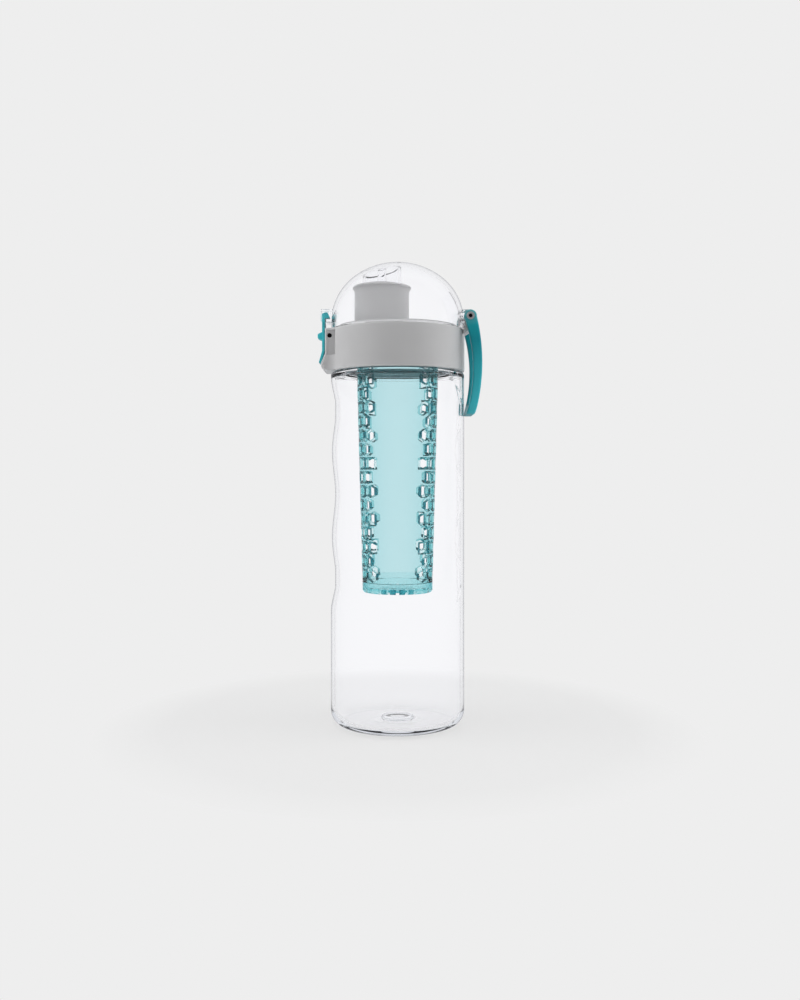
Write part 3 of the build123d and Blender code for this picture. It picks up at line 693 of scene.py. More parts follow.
deck_top = 216.5
deck_plate = 2.2
deck_under = deck_top - deck_plate
deck_side = 32.2
deck_round = 0.6
socket_inner = 22.6
socket_outer = 24.1
socket_bottom = 198.3
shelf_inner = 29.0
shelf_under = 209.7
shelf_top = 212.0
skirt_inner = 33.0
skirt_outer = 34.4
skirt_bottom = 193.2
root = 0.3
bevel = 0.2
deck_line = [
    (0, deck_under),
    (20.0, deck_under),
    (socket_inner - root, deck_under),
    (socket_inner, deck_under - root),
    (socket_inner, socket_bottom + bevel),
    (socket_inner + bevel, socket_bottom),
    (socket_outer - bevel, socket_bottom),
    (socket_outer, socket_bottom + bevel),
    (socket_outer, deck_under - root),
    (socket_outer + root, deck_under),
    (shelf_inner - root, deck_under),
    (shelf_inner, deck_under - root),
    (shelf_inner, shelf_under + bevel),
    (shelf_inner + bevel, shelf_under),
    (skirt_inner, shelf_under),
    (skirt_inner, skirt_bottom + bevel),
    (skirt_inner + bevel, skirt_bottom),
    (skirt_outer - bevel, skirt_bottom),
    (skirt_outer, skirt_bottom + bevel),
    (skirt_outer, shelf_top - bevel),
    (skirt_outer - bevel, shelf_top),
    (deck_side, shelf_top),
]
deck_line += arc((deck_side - deck_round, deck_top - deck_round), deck_round, 0, 90, 5)
deck = turned_piece("deck_blank", deck_line + [(0, deck_top)])

spout_place = (-8.6, 0, 0)
spout_radius = 14.9
spout_bore = 12.9
spout_top = 238.3
foot_round = 0.7
lip_round = 0.7
lip_stand = 0.5
overrun = 1.0
spout_root = deck_top - deck_plate / 2
spout_line = [(0, spout_root), (spout_radius, spout_root)]
spout_line += arc((spout_radius + foot_round, deck_top + foot_round), foot_round, 260, 180, 4)
for drop, flare in ((13.3, 0.0), (4.9, 0.0), (3.3, 0.08), (2.1, 0.35), (1.3, 0.8)):
    spout_line.append((spout_radius + flare, spout_top - drop))
spout_line += arc((spout_radius + lip_stand, spout_top - 0.8), lip_round, -20, 90, 7)
spout_line += [(spout_bore + lip_round, spout_top), (0, spout_top)]
spout = turned_piece("spout_blank", spout_line, place=spout_place)
spout_hole_line = [(0, deck_under - overrun), (spout_bore, deck_under - overrun)]
for drop, flare in ((0.9, 0.0), (0.4, 0.1), (0.05, 0.5), (-1.7, lip_round)):
    spout_hole_line.append((spout_bore + flare, spout_top - drop))
spout_hole = turned_piece("spout_hole", spout_hole_line + [(0, 240.0)], place=spout_place)

vent_place = (25.6, 0, 0)
vent_stem = 0.9
stem_bore = vent_stem + 0.05
stem_hole_line = [(0, 213), (stem_bore, 213), (stem_bore, 218), (0, 218)]
stem_hole = turned_piece("stem_hole", stem_hole_line, 32, vent_place)

latch_place = (-36.4, 210.3)
boss_radius = 2.1
boss_gap = 0.3
boss_bottom = latch_place[1] - boss_radius - boss_gap
boss_top = latch_place[1] + boss_radius + boss_gap
channel_half = 6.0
boss_pocket = prism(
    "boss_pocket", box_outline(-35.4, -34.0, boss_bottom, boss_top), channel_half
)
deck = combine(
    "spout_and_deck",
    deck,
    (spout, "UNION"),
    (spout_hole, "DIFFERENCE"),
    (stem_hole, "DIFFERENCE"),
    (boss_pocket, "DIFFERENCE"),
)
# A lighter copy of the lid's plastic for its hidden inside faces and its thread: painted light where
# little light reaches.
lid_plastic_painted_light = moulded_finish("lid_inside_painted_light", (0.84, 0.84, 0.85), 0.4, 0.08)[0]
collar_inner = 34.7


def paint_light_inside(piece, top, radius):
    """Gives the hidden faces of a lid piece, below a height and within a radius, the lighter copy of
    the lid plastic: painted light inside the lid.
    """
    piece.data.materials.append(lid_plastic_painted_light)
    for face in piece.data.polygons:
        middle = face.center
        if middle.z < top * mm and math.hypot(middle.x, middle.y) < radius * mm:
            face.material_index = 1


set_out(smoothed(deck), "lid", "pale_lid", "spout_deck", material=lid_plastic_painted_shade)
# The deck's underside and socket take the lighter copy: painted light.
paint_light_inside(deck, deck_under + root, collar_inner)
# The lid's thread takes the lighter copy too: painted light inside the skirt.
lid_thread = screw_thread("lid_thread", skirt_inner, -1, 195.95, lid_plastic_painted_light)
set_out(lid_thread, "lid", "pale_lid")


# A thin silicone ring lies between the inner lid's edge and the lip of the shell above it.
deck_seal_width = 1.0
deck_seal_top = 212.8
deck_seal_line = ring_outline(
    skirt_outer - deck_seal_width, skirt_outer, shelf_top, deck_seal_top, 0.15
)
deck_seal = turned_piece("deck_seal_ring", deck_seal_line)
set_out(smoothed(deck_seal), "lid", "silicone", "deck_seal", material=silicone)


# The air valve is a soft nub pushed through a hole in the deck, with a flange above and below.
nub_radius = 1.2
nub_top = 218.9
nub_round = 0.4
vent_flange = 2.3
vent_bottom = deck_under - 0.9
valve_line = [
    (0, vent_bottom),
    (nub_radius - 0.2, vent_bottom),
    (nub_radius, vent_bottom + 0.2),
    (nub_radius, deck_under - 0.1),
    (vent_stem, deck_under),
    (vent_stem, deck_top),
    (vent_flange - 0.1, deck_top),
    (vent_flange, deck_top + 0.2),
    (vent_flange - 0.1, deck_top + 0.8),
    (vent_flange - 0.3, deck_top + 0.9),
    (nub_radius + 0.1, deck_top + 0.95),
    (nub_radius, deck_top + 1.1),
]
valve_line += arc((nub_radius - nub_round, nub_top - nub_round), nub_round, 0, 90, 4)
valve = turned_piece("vent_nub", valve_line + [(0, nub_top)], 48, vent_place)
set_out(smoothed(valve), "lid", "silicone", "vent_valve", material=silicone)


# The lid's outer shell is a band of the same pale plastic. A housing for the latch stands out on the
# left, two ears for the hinge on the right, and it is pressed over the inner lid.
collar_radius = 36.5
collar_edge = 0.6
collar_bottom = 191.7
collar_top = 214.3
collar_lip_under = 212.8
edge_ring = collar_radius - collar_edge
shell_line = [
    (collar_inner, collar_bottom + bevel),
    (collar_inner + bevel, collar_bottom),
    (edge_ring, collar_bottom),
]
shell_line += arc((edge_ring, collar_bottom + collar_edge), collar_edge, -60, 0, 4)
shell_line += [(collar_radius, 200.0), (collar_radius, 207.0)]
shell_line += arc((edge_ring, collar_top - collar_edge), collar_edge, 0, 90, 5)
shell_line += [
    (skirt_inner + bevel, collar_top),
    (skirt_inner, collar_top - bevel),
    (skirt_inner, collar_lip_under + bevel),
    (skirt_inner + bevel, collar_lip_under),
    (collar_inner, collar_lip_under),
]
shell = turned_piece("shell_blank", shell_line, 240)

housing_half = 12.4
housing_root = -32.8
housing_face = -38.8
housing_foot_face = -41.0
housing_line = [
    (housing_root, collar_top),
    (housing_face, collar_top),
    (housing_face, 200.6),
    (housing_foot_face, 195.6),
    (housing_foot_face, 193.3),
    (housing_foot_face + 1.6, collar_bottom),
    (housing_root, collar_bottom),
]
housing = prism("housing_blank", housing_line, housing_half, 0.5)

hinge_place = (38.8, 220.2)
ear_radius = 2.9
ear_middle = 9.7
ear_half = 1.7
ear_root = 35.2
ear_line = [
    (hinge_place[0] - ear_radius, hinge_place[1]),
    (hinge_place[0] + ear_radius, hinge_place[1]),
    (40.9, 214.95),
    (ear_root, 211.2),
    (ear_root, collar_top - collar_edge),
    (edge_ring, collar_top - collar_edge),
]
ears = [prism(f"ear{s}", ear_line, ear_half, 0.2, s * ear_middle) for s in (-1, 1)]
ears += [
    cross_rod(f"ear_eye{s}", ear_radius, hinge_place, ear_half, 0.3, s * ear_middle)
    for s in (-1, 1)
]


def upright_prism(name, outline, bottom, top, side):
    """A block of this plan outline in X and Y, on the near side (-1) or the far side (1)."""
    count = len(outline)
    points = [(x, side * y, z) for z in (bottom, top) for x, y in outline]
    faces = [list(range(count)), list(range(count, 2 * count))]
    for i in range(count):
        k = (i + 1) % count
        faces.append([i, k, count + k, count + i])
    return make_mesh(name, points, faces)


hollow = 6.0
hollow_y = housing_half + hollow
hollow_x = -math.sqrt((collar_radius + hollow) ** 2 - hollow_y**2)
hollow_end = math.degrees(math.atan2(-hollow_y, -hollow_x))
corner_line = [(-38.2, 12.0), (-33.0, 11.0), (-32.0, 14.0)]
corner_line += arc((hollow_x, hollow_y), hollow, hollow_end, -90, 12)
corners = [
    upright_prism(f"corner{s}", corner_line, collar_bottom + bevel, collar_top - bevel, s)
    for s in (1, -1)
]
below_collar = 190.0
inside_line = [(0, below_collar), (collar_inner, below_collar)]
inside_line += [(collar_inner, collar_lip_under), (0, collar_lip_under)]
above_collar = 216.0
mouth_line = [(0, below_collar), (skirt_inner, below_collar)]
mouth_line += [(skirt_inner, above_collar), (0, above_collar)]
channel = box_outline(-42.0, -collar_radius, 194.7, collar_top + overrun)
boss_room = box_outline(-37.5, -32.9, boss_bottom, boss_top)
hollows = [
    turned_piece("shell_inside", inside_line, 240),
    turned_piece("shell_mouth", mouth_line, 240),
    prism("latch_channel", channel, channel_half),
    prism("boss_room", boss_room, channel_half),
]
cheek = box_outline(-38.2, -33.2, 199.8, 213.3)
cheek_depth = 0.5
cheek_half = 2.9
cheek_middle = housing_half - cheek_depth + cheek_half
hollows += [prism(f"cheek{s}", cheek, cheek_half, 0.1, s * cheek_middle) for s in (-1, 1)]
fixed_gap = 0.02
latch_pin_radius = 1.25
hinge_pin_radius = 1.5
hollows += [
    cross_rod("latch_pin_hole", latch_pin_radius + fixed_gap, latch_place, 14.0),
    cross_rod("hinge_pin_hole", hinge_pin_radius + fixed_gap, hinge_place, 13.0),
]
steps = [(piece, "UNION") for piece in [*corners, housing, *ears]]
steps += [(piece, "DIFFERENCE") for piece in hollows]
shell = combine("lid_shell", shell, *steps)
set_out(smoothed(shell), "lid", "pale_lid", "lid_collar", material=lid_plastic_painted_shade)
painted_radius = 35.6
# The shell's inside faces take the lighter copy: painted light.
paint_light_inside(shell, collar_lip_under + 0.1, painted_radius)


# The infuser basket is a tapered tube of clear teal plastic. Six-sided holes in alternating rows
# fill both its sides, the front and back stay plain, and its rim has a flange and two beads.
def teal_finish(name, density, rough):
    """Clear teal plastic, whose colour deepens with the length that light goes through it."""
    material = bpy.data.materials.new(name)
    material.use_nodes = True
    tree = material.node_tree
    shader = tree.nodes["Principled BSDF"]
    shader.inputs["IOR"].default_value = 1.12
    shader.inputs["Transmission Weight"].default_value = 1.0
    slow = noise(tree, 60.0, 2.0)
    tree.links.new((slow * 0.04 + rough).socket, shader.inputs["Roughness"])
    roughen(tree, slow, 0.08, 0.5 * mm)
    fill(tree, (0.0, 0.633, 0.682, 1), density)
    return material, shader


teal_clear, teal_clear_shader = teal_finish("teal_clear_plastic", 148.0, 0.02)
teal_clear_shader.inputs["Base Color"].default_value = (0.99, 1.0, 1.0, 1)
# The holes' walls get a lighter, duller copy of the teal plastic: painted light, so that the walls
# don't read dark.
teal_wall_painted_light, teal_wall_painted_light_shader = teal_finish("teal_hole_wall_painted_light", 25.0, 0.15)
teal_wall_painted_light_shader.inputs["Base Color"].default_value = (0.5, 0.9, 0.92, 1)
teal_wall_painted_light_shader.inputs["Transmission Weight"].default_value = 0.8
teal_wall_painted_light_shader.inputs["Specular IOR Level"].default_value = 0.1

top_radius = 22.3
bottom_radius = 19.0
tube_wall = 2.0
tube_inner = top_radius - tube_wall
tube_top = 212.3
straight_bottom = 194.3
tube_bottom = 72.0
seam = 77.5
taper = (top_radius - bottom_radius) / (straight_bottom - tube_bottom)


def tube_radius(height):
    """Outer radius of the tapered tube."""
    return min(bottom_radius + (height - tube_bottom) * taper, top_radius)


side_rings = np.linspace(79.5, 190.5, 8)
basket_line = [(tube_radius(seam) - tube_wall, seam), (tube_radius(seam), seam)]
basket_line += [(tube_radius(z), z) for z in side_rings]
bead_line = ((0.0, 0.0), (0.35, 0.1), (0.5, 0.4), (0.5, 1.0), (0.35, 1.3), (0.0, 1.4))
for bead in (191.1, 193.6):
    basket_line += [(tube_radius(bead) + stand, bead + rise) for stand, rise in bead_line]
flange_radius = 24.0
flange_bottom = 196.0
flange_top = 198.0
seal_groove = 204.6
seal_groove_top = 205.8
seal_groove_radius = 21.4
basket_line += [
    (top_radius, flange_bottom),
    (flange_radius - bevel, flange_bottom),
    (flange_radius, flange_bottom + bevel),
    (flange_radius, flange_top - bevel),
    (flange_radius - bevel, flange_top),
    (top_radius, flange_top),
    (top_radius, seal_groove),
    (seal_groove_radius, seal_groove),
    (seal_groove_radius, seal_groove_top),
    (top_radius, seal_groove_top),
    (top_radius, tube_top - 0.3),
    (top_radius - bevel, tube_top),
    (tube_inner + bevel, tube_top),
    (tube_inner, tube_top - bevel),
    (tube_inner, straight_bottom),
]
basket_line += [(tube_radius(z) - tube_wall, z) for z in side_rings[::-1]]

hole_tree, tube, sizes, end = node_tree(
    "hexagon_holes",
    {
        "Rows": "Int",
        "Columns Per Turn": "Int",
        "Wide Row": "Int",
        "Lowest Row": "Float",
        "Row Pitch": "Float",
        "Hole Height": "Float",
        "Low Radius": "Float",
        "Radius Per Height": "Float",
        "Tube Material": "Material",
        "Edge Material": "Material",
    },
)
nudge = 0.001
per_row = sizes["Wide Row"] * 2.0
cloud = add_node(hole_tree, "GeometryNodePoints", {"Count": per_row * sizes["Rows"]})
number = Figure(hole_tree, add_node(hole_tree, "GeometryNodeInputIndex").outputs[0])
row = (number / per_row + nudge).math("FLOOR")
in_row = number - row * per_row
side = (in_row / sizes["Wide Row"] + nudge).math("FLOOR")
in_side = in_row - side * sizes["Wide Row"]
columns = sizes["Wide Row"] - row.math("MODULO", 2.0)
step = (sizes["Columns Per Turn"] / (2 * math.pi)).math("POWER", -1.0)
turn = side * math.pi + (in_side - (columns - 1.0) * 0.5) * step
rise = row * sizes["Row Pitch"]
radius = sizes["Low Radius"] + rise * sizes["Radius Per Height"]
hole_place = add_node(
    hole_tree,
    "ShaderNodeCombineXYZ",
    {
        0: radius * turn.math("COSINE"),
        1: radius * turn.math("SINE"),
        2: sizes["Lowest Row"] + rise,
    },
)
placed = add_node(
    hole_tree,
    "GeometryNodeSetPosition",
    {"Geometry": cloud.outputs[0], "Position": hole_place.outputs[0]},
)
extra = in_side.math("GREATER_THAN", columns - 0.5)
kept = add_node(
    hole_tree, "GeometryNodeDeleteGeometry", {"Geometry": placed.outputs[0], "Selection": extra}
)
punch = add_node(
    hole_tree,
    "GeometryNodeMeshCylinder",
    {"Vertices": 6, "Radius": sizes["Hole Height"] * 0.5, "Depth": 5.2 * mm},
)
facing = add_node(hole_tree, "ShaderNodeCombineXYZ", {0: 0.0, 1: math.pi / 2, 2: turn})
store = add_node(
    hole_tree,
    "GeometryNodeStoreNamedAttribute",
    {"Geometry": kept.outputs[0], "Name": "facing", "Value": facing.outputs[0]},
    data_type="FLOAT_VECTOR",
    domain="POINT",
)
read = add_node(
    hole_tree, "GeometryNodeInputNamedAttribute", {"Name": "facing"}, data_type="FLOAT_VECTOR"
)
turned_way = add_node(hole_tree, "FunctionNodeEulerToRotation", {0: read.outputs[0]})
punches = add_node(
    hole_tree,
    "GeometryNodeInstanceOnPoints",
    {"Points": store.outputs[0], "Instance": punch.outputs[0], "Rotation": turned_way.outputs[0]},
)
punches = add_node(hole_tree, "GeometryNodeRealizeInstances", {"Geometry": punches.outputs[0]})
cut = add_node(
    hole_tree,
    "GeometryNodeMeshBoolean",
    {"Mesh 1": tube, "Mesh 2": punches.outputs[0]},
    operation="DIFFERENCE",
    solver="EXACT",
)
way = add_node(hole_tree, "GeometryNodeInputNormal")
spot = add_node(hole_tree, "GeometryNodeInputPosition")
spot_parts = add_node(hole_tree, "ShaderNodeSeparateXYZ", {0: spot.outputs[0]})
way_parts = add_node(hole_tree, "ShaderNodeSeparateXYZ", {0: way.outputs[0]})
px, py, pz = (Figure(hole_tree, socket) for socket in spot_parts.outputs)
nx, ny = (Figure(hole_tree, socket) for socket in way_parts.outputs[:2])
# Faces that face across, the walls of the holes, are picked for the lighter copy of the plastic:
# painted light.
outward = ((px * nx + py * ny) / (px * px + py * py).math("SQRT")).math("ABSOLUTE")
top_row = sizes["Lowest Row"] + sizes["Rows"] * sizes["Row Pitch"]
is_edge = outward.math("LESS_THAN", 0.7) * pz.math("LESS_THAN", top_row)
is_edge = is_edge * pz.math("GREATER_THAN", sizes["Lowest Row"] - sizes["Hole Height"] * 0.6)
lowest_row = 81.4
finish_tree(
    hole_tree,
    cut.outputs[0],
    end,
    [(sizes["Tube Material"], None), (sizes["Edge Material"], is_edge.socket)],
)
basket = grown(
    "infuser_tube",
    turned_piece("basket_blank", basket_line, 240),
    hole_tree,
    {
        "Rows": 15,
        "Columns Per Turn": 16,
        "Wide Row": 5,
        "Lowest Row": lowest_row * mm,
        "Row Pitch": 7.55 * mm,
        "Hole Height": 6.7 * mm,
        "Low Radius": (tube_radius(lowest_row) - tube_wall / 2) * mm,
        "Radius Per Height": taper,
        "Tube Material": teal_clear,
        "Edge Material": teal_wall_painted_light,
    },
)
set_out(smoothed(faces_out(basket)), "lid", "teal_clear", "infuser_basket")


# The basket's bottom cap is pressed into the tube. Radial slots, cut by one tree, run out through
# its rounded edge, so that it drains.
cap_radius = 19.15
cap_round = 1.3
cap_edge = 0.15
cap_floor_top = 74.6
spigot_radius = 17.05
spigot_inner = 16.05
spigot_top = 81.0
cap_line = [(0, tube_bottom), (17.8, tube_bottom)]
cap_line += arc((cap_radius - cap_round, tube_bottom + cap_round), cap_round, -80, 0, 5)
cap_line += [
    (cap_radius, seam - bevel),
    (cap_radius - cap_edge, seam),
    (spigot_radius, seam),
    (spigot_radius, spigot_top - bevel),
    (spigot_radius - cap_edge, spigot_top),
    (spigot_inner + cap_edge, spigot_top),
    (spigot_inner, spigot_top - bevel),
    (spigot_inner, cap_floor_top + bevel),
    (spigot_inner - cap_edge, cap_floor_top),
    (0, cap_floor_top),
]
teal_cap, teal_cap_shader = teal_finish("teal_cap_plastic", 120.0, 0.02)
teal_cap_shader.inputs["Base Color"].default_value = (0.97, 1.0, 1.0, 1)
slot_tree, cap, sizes, end = node_tree(
    "drain_slots",
    {
        "Slots": "Int",
        "Slot Width": "Float",
        "Slot Start": "Float",
        "Slot Length": "Float",
        "Slot Middle": "Float",
        "Slot Height": "Float",
        "Material": "Material",
    },
)
cloud = add_node(slot_tree, "GeometryNodePoints", {"Count": sizes["Slots"]})
number = Figure(slot_tree, add_node(slot_tree, "GeometryNodeInputIndex").outputs[0])
turn = number / sizes["Slots"] * (2 * math.pi)
reach = sizes["Slot Start"] + sizes["Slot Length"] * 0.5
slot_place = add_node(
    slot_tree,
    "ShaderNodeCombineXYZ",
    {0: reach * turn.math("COSINE"), 1: reach * turn.math("SINE"), 2: sizes["Slot Middle"]},
)
placed = add_node(
    slot_tree,
    "GeometryNodeSetPosition",
    {"Geometry": cloud.outputs[0], "Position": slot_place.outputs[0]},
)
slot_size = add_node(
    slot_tree,
    "ShaderNodeCombineXYZ",
    {0: sizes["Slot Length"], 1: sizes["Slot Width"], 2: sizes["Slot Height"]},
)
cutter = add_node(slot_tree, "GeometryNodeMeshCube", {"Size": slot_size.outputs[0]})
facing = add_node(slot_tree, "ShaderNodeCombineXYZ", {2: turn})
turned_way = add_node(slot_tree, "FunctionNodeEulerToRotation", {0: facing.outputs[0]})
cutters = add_node(
    slot_tree,
    "GeometryNodeInstanceOnPoints",
    {"Points": placed.outputs[0], "Instance": cutter.outputs[0], "Rotation": turned_way.outputs[0]},
)
cutters = add_node(slot_tree, "GeometryNodeRealizeInstances", {"Geometry": cutters.outputs[0]})
cut = add_node(
    slot_tree,
    "GeometryNodeMeshBoolean",
    {"Mesh 1": cap, "Mesh 2": cutters.outputs[0]},
    operation="DIFFERENCE",
    solver="EXACT",
)
finish_tree(slot_tree, cut.outputs[0], end, [(sizes["Material"], None)])
cap = grown(
    "infuser_cap",
    turned_piece("cap_blank", cap_line, 240),
    slot_tree,
    {
        "Slots": 24,
        "Slot Width": 1.8 * mm,
        "Slot Start": 8.65 * mm,
        "Slot Length": 11.5 * mm,
        "Slot Middle": tube_bottom * mm,
        "Slot Height": 5.2 * mm,
        "Material": teal_cap,
    },
)
set_out(smoothed(faces_out(cap)), "lid", "teal_clear", "infuser_base")


# A round silicone ring sits in the groove near the basket's top and grips the lid's socket.
seal_place = (22.0, (seal_groove + seal_groove_top) / 2)
seal_wire = 0.58
infuser_seal = turned_piece("infuser_seal_ring", arc(seal_place, seal_wire, 0, 345, 23))
set_out(smoothed(infuser_seal), "lid", "silicone", "infuser_seal", material=silicone)


# The dome is one clear moulding. It carries its hinge knuckle, the catch for the latch in front, the
# tube and post that hold the spout's seal, and a rib beside the vent.
dome_radius = 36.3
dome_wall = 1.8
dome_base = 214.6
curve_bottom = 218.4
side_radius = dome_radius * 0.854
dome_height = dome_radius * 0.9036
side_centre = dome_radius - side_radius
cap_radius = (side_centre**2 + dome_height**2 - side_radius**2) / (dome_height - side_radius) / 2
cap_centre = curve_bottom + dome_height - cap_radius
join = math.degrees(math.atan2(curve_bottom - cap_centre, side_centre))


def dome_blank(name, inset, base):
    """The dome as a solid whose skin lies this far inside its outer face."""
    line = [(0, base), (dome_radius - inset, base), (dome_radius - inset, curve_bottom)]
    line += arc((side_centre, curve_bottom), side_radius - inset, 0, join, 40)[1:]
    line += arc((0, cap_centre), cap_radius - inset, join, 90, 30)[1:]
    return turned_piece(name, line, 256)


def inside_dome(name, blank):
    """The part of a blank that ends within the dome's wall."""
    skin = dome_blank(f"{name}_skin", dome_wall / 2, 214.0)
    return combine(name, blank, (skin, "INTERSECT"))


def hanging_tube(name, inner, outer, edge, around):
    """A tube from above the dome down to the plug's lower end, round the spout's middle."""
    line = [(inner, plug_bottom + bevel), (inner + edge, plug_bottom)]
    line += [(outer - edge, plug_bottom), (outer, plug_bottom + bevel)]
    line += [(outer, above_dome), (inner, above_dome)]
    return inside_dome(name, turned_piece(f"{name}_blank", line, around, spout_place))


running_gap = 0.05
above_dome = 252.0
plug_bottom = 236.9
plug_inner = 9.2
plug_outer = 10.6
post_inner = 1.5
post_outer = 2.4
knuckle_half = 7.7
knuckle_radius = 3.0
wall_root = 32.7
arm = box_outline(wall_root, 39.4, hinge_place[1] - 2.0, hinge_place[1] + 4.7)
catch_half = 7.2
catch_face = -41.4
before_catch = catch_face - overrun
catch = box_outline(catch_face, -wall_root, curve_bottom, 225.3)
catch_room = box_outline(before_catch, latch_place[0], 219.8, 224.2)
ledge_slot = box_outline(before_catch, -38.6, curve_bottom - overrun, 220.8)
rib_line = [
    (24.2, 231.7),
    (26.5, 226.3),
    (28.6, curve_bottom),
    (dome_radius, curve_bottom),
    (dome_radius, 242.4),
]
dome = combine(
    "clear_dome",
    dome_blank("dome_outside", 0.0, dome_base),
    (prism("knuckle_arm", arm, knuckle_half, 0.5), "UNION"),
    (cross_rod("knuckle", knuckle_radius, hinge_place, knuckle_half, 0.4), "UNION"),
    (prism("catch_blank", catch, catch_half, 0.5), "UNION"),
    (prism("catch_room", catch_room, channel_half), "DIFFERENCE"),
    (prism("ledge_slot", ledge_slot, channel_half), "DIFFERENCE"),
    (dome_blank("dome_inside", dome_wall, dome_base - overrun), "DIFFERENCE"),
    (hanging_tube("plug_tube", plug_inner, plug_outer, 0.2, 128), "UNION"),
    (hanging_tube("plug_post", post_inner, post_outer, 0.1, 64), "UNION"),
    (inside_dome("vent_rib", prism("rib_blank", rib_line, 1.0, 0.15)), "UNION"),
    (cross_rod("knuckle_bore", hinge_pin_radius + running_gap, hinge_place, 9.0), "DIFFERENCE"),
)
set_out(smoothed(dome), "dome", "clear_wall", "dome_lid", material=clear_plastic)


# A silicone cup is pushed over the dome's plug tube, with a stem in the post. It shuts the spout.
cup_bottom = 235.5
cup_wall_inner = plug_outer + running_gap
stem_radius = post_inner - running_gap
stem_top = 238.1
cup_line = [
    (0, cup_bottom),
    (11.0, cup_bottom),
    (11.25, cup_bottom + bevel),
    (12.4, 237.7),
    (12.3, 238.0),
    (cup_wall_inner + 0.1, 239.4),
    (cup_wall_inner, 239.3),
    (cup_wall_inner, plug_bottom),
    (stem_radius, plug_bottom),
    (stem_radius, stem_top - bevel),
    (stem_radius - 0.15, stem_top),
    (0, stem_top),
]
cup = turned_piece("spout_cup", cup_line, 128, spout_place)
frosted, frosted_shader = moulded_finish("frosted_silicone", (0.93, 0.93, 0.94), 0.35)
frosted_shader.inputs["Transmission Weight"].default_value = 0.7
set_out(smoothed(cup), "dome", "silicone", "spout_seal", material=frosted)


# The hinge pin is a steel rivet through the ears, the knuckle and the loop. Each end is a flat
# head with a dimple.
def metal_finish(name, color, rough):
    """Turned metal: fine grain in its colour and slightly uneven gloss."""
    material = bpy.data.materials.new(name)
    material.use_nodes = True
    tree = material.node_tree
    shader = tree.nodes["Principled BSDF"]
    shader.inputs["Metallic"].default_value = 1.0
    grain = noise(tree, 900.0, 3.0)
    tint = add_node(tree, "ShaderNodeMix", {"Factor": grain}, data_type="RGBA")
    tint.inputs[6].default_value = tuple(c * 0.8 for c in color) + (1,)
    tint.inputs[7].default_value = color + (1,)
    tree.links.new(tint.outputs[2], shader.inputs["Base Color"])
    tree.links.new((grain * 0.2 + rough).socket, shader.inputs["Roughness"])
    return material


steel = metal_finish("steel", (0.62, 0.62, 0.62), 0.25)
dark_steel = metal_finish("dark_steel", (0.012, 0.012, 0.014), 0.3)
pin_end = 17.6
head_radius = 2.1
head_inside = 16.9
dimple_radius = 1.0
dimple_floor = 16.6
pin_line = [
    (0, -dimple_floor),
    (dimple_radius, -dimple_floor),
    (dimple_radius, bevel - pin_end),
    (dimple_radius + bevel, -pin_end),
    (head_radius - bevel, -pin_end),
    (head_radius, bevel - pin_end),
    (head_radius, -head_inside),
    (hinge_pin_radius, -head_inside),
]
pin_line += [(r, -y) for r, y in pin_line[::-1]]
pin_place = (hinge_place[0], 0, hinge_place[1])
hinge_pin = turned_piece("hinge_rivet", pin_line, 96, pin_place, along_y=True)
set_out(smoothed(hinge_pin), "lid", "steel", "hinge_pin", material=steel)
# The dimples' faces take the near-black steel: painted shade in the hollows.
hinge_pin.data.materials.append(dark_steel)
for face in hinge_pin.data.polygons:
    middle = face.center
    off_axis = math.hypot(middle.x - hinge_place[0] * mm, middle.z - hinge_place[1] * mm)
    if off_axis < (dimple_radius + 0.05) * mm and abs(middle.y) > (dimple_floor - 0.1) * mm:
        face.material_index = 1


# The carry loop is a bowed strap of solid teal plastic, moulded in one piece: two arms that hang
# from the hinge pin, joined by a bar at the bottom.
loop_steps = 26
corner_steps = 10
loop_edge = 1.0
loop_outer = 16.6
loop_inner = 11.8
loop_corner = 6.0
window_corner = 4.0
loop_top = hinge_place[1]
loop_foot = 168.0
window_foot = 174.0
loop_eye_radius = 3.4
loop_eye_half = 2.4


def through_three(points, height):
    """X of the circle through three points in X and Z, at a height."""
    (ax, az), (bx, bz), (cx, cz) = points
    d = 2 * (ax * (bz - cz) + bx * (cz - az) + cx * (az - bz))
    a2, b2, c2 = ax**2 + az**2, bx**2 + bz**2, cx**2 + cz**2
    ux = (a2 * (bz - cz) + b2 * (cz - az) + c2 * (az - bz)) / d
    uz = (a2 * (cx - bx) + b2 * (ax - cx) + c2 * (bx - ax)) / d
    radius = math.hypot(ax - ux, az - uz)
    return ux + math.copysign(math.sqrt(max(radius**2 - (height - uz) ** 2, 0)), bx - ux)


bow_heights = (loop_top, (loop_top + loop_foot) / 2, loop_foot)
outer_face = list(zip((42.2, 45.1, 41.4), bow_heights))
inner_face = list(zip((35.4, 40.3, 36.6), bow_heights))
corner_top = loop_foot + loop_corner
window_corner_top = window_foot + window_corner
outside = [(loop_outer, z) for z in np.linspace(loop_top, corner_top, loop_steps)]
within = [(loop_inner, z) for z in np.linspace(loop_top, window_corner_top, loop_steps)]
for k in range(1, corner_steps + 1):
    turn = math.pi / 2 * k / corner_steps
    run, fall = 1 - math.cos(turn), math.sin(turn)
    outside.append((loop_outer - loop_corner * run, corner_top - loop_corner * fall))
    within.append((loop_inner - window_corner * run, window_corner_top - window_corner * fall))
outside += [(-y, z) for y, z in outside[::-1]]
within += [(-y, z) for y, z in within[::-1]]
section = []
for corner, (across, deep) in enumerate(((1, 1), (0, 1), (0, 0), (1, 0))):
    for k in range(5):
        turn = math.pi / 2 * (corner + k / 4)
        section.append((across, deep, math.cos(turn), math.sin(turn)))
loop_points = []
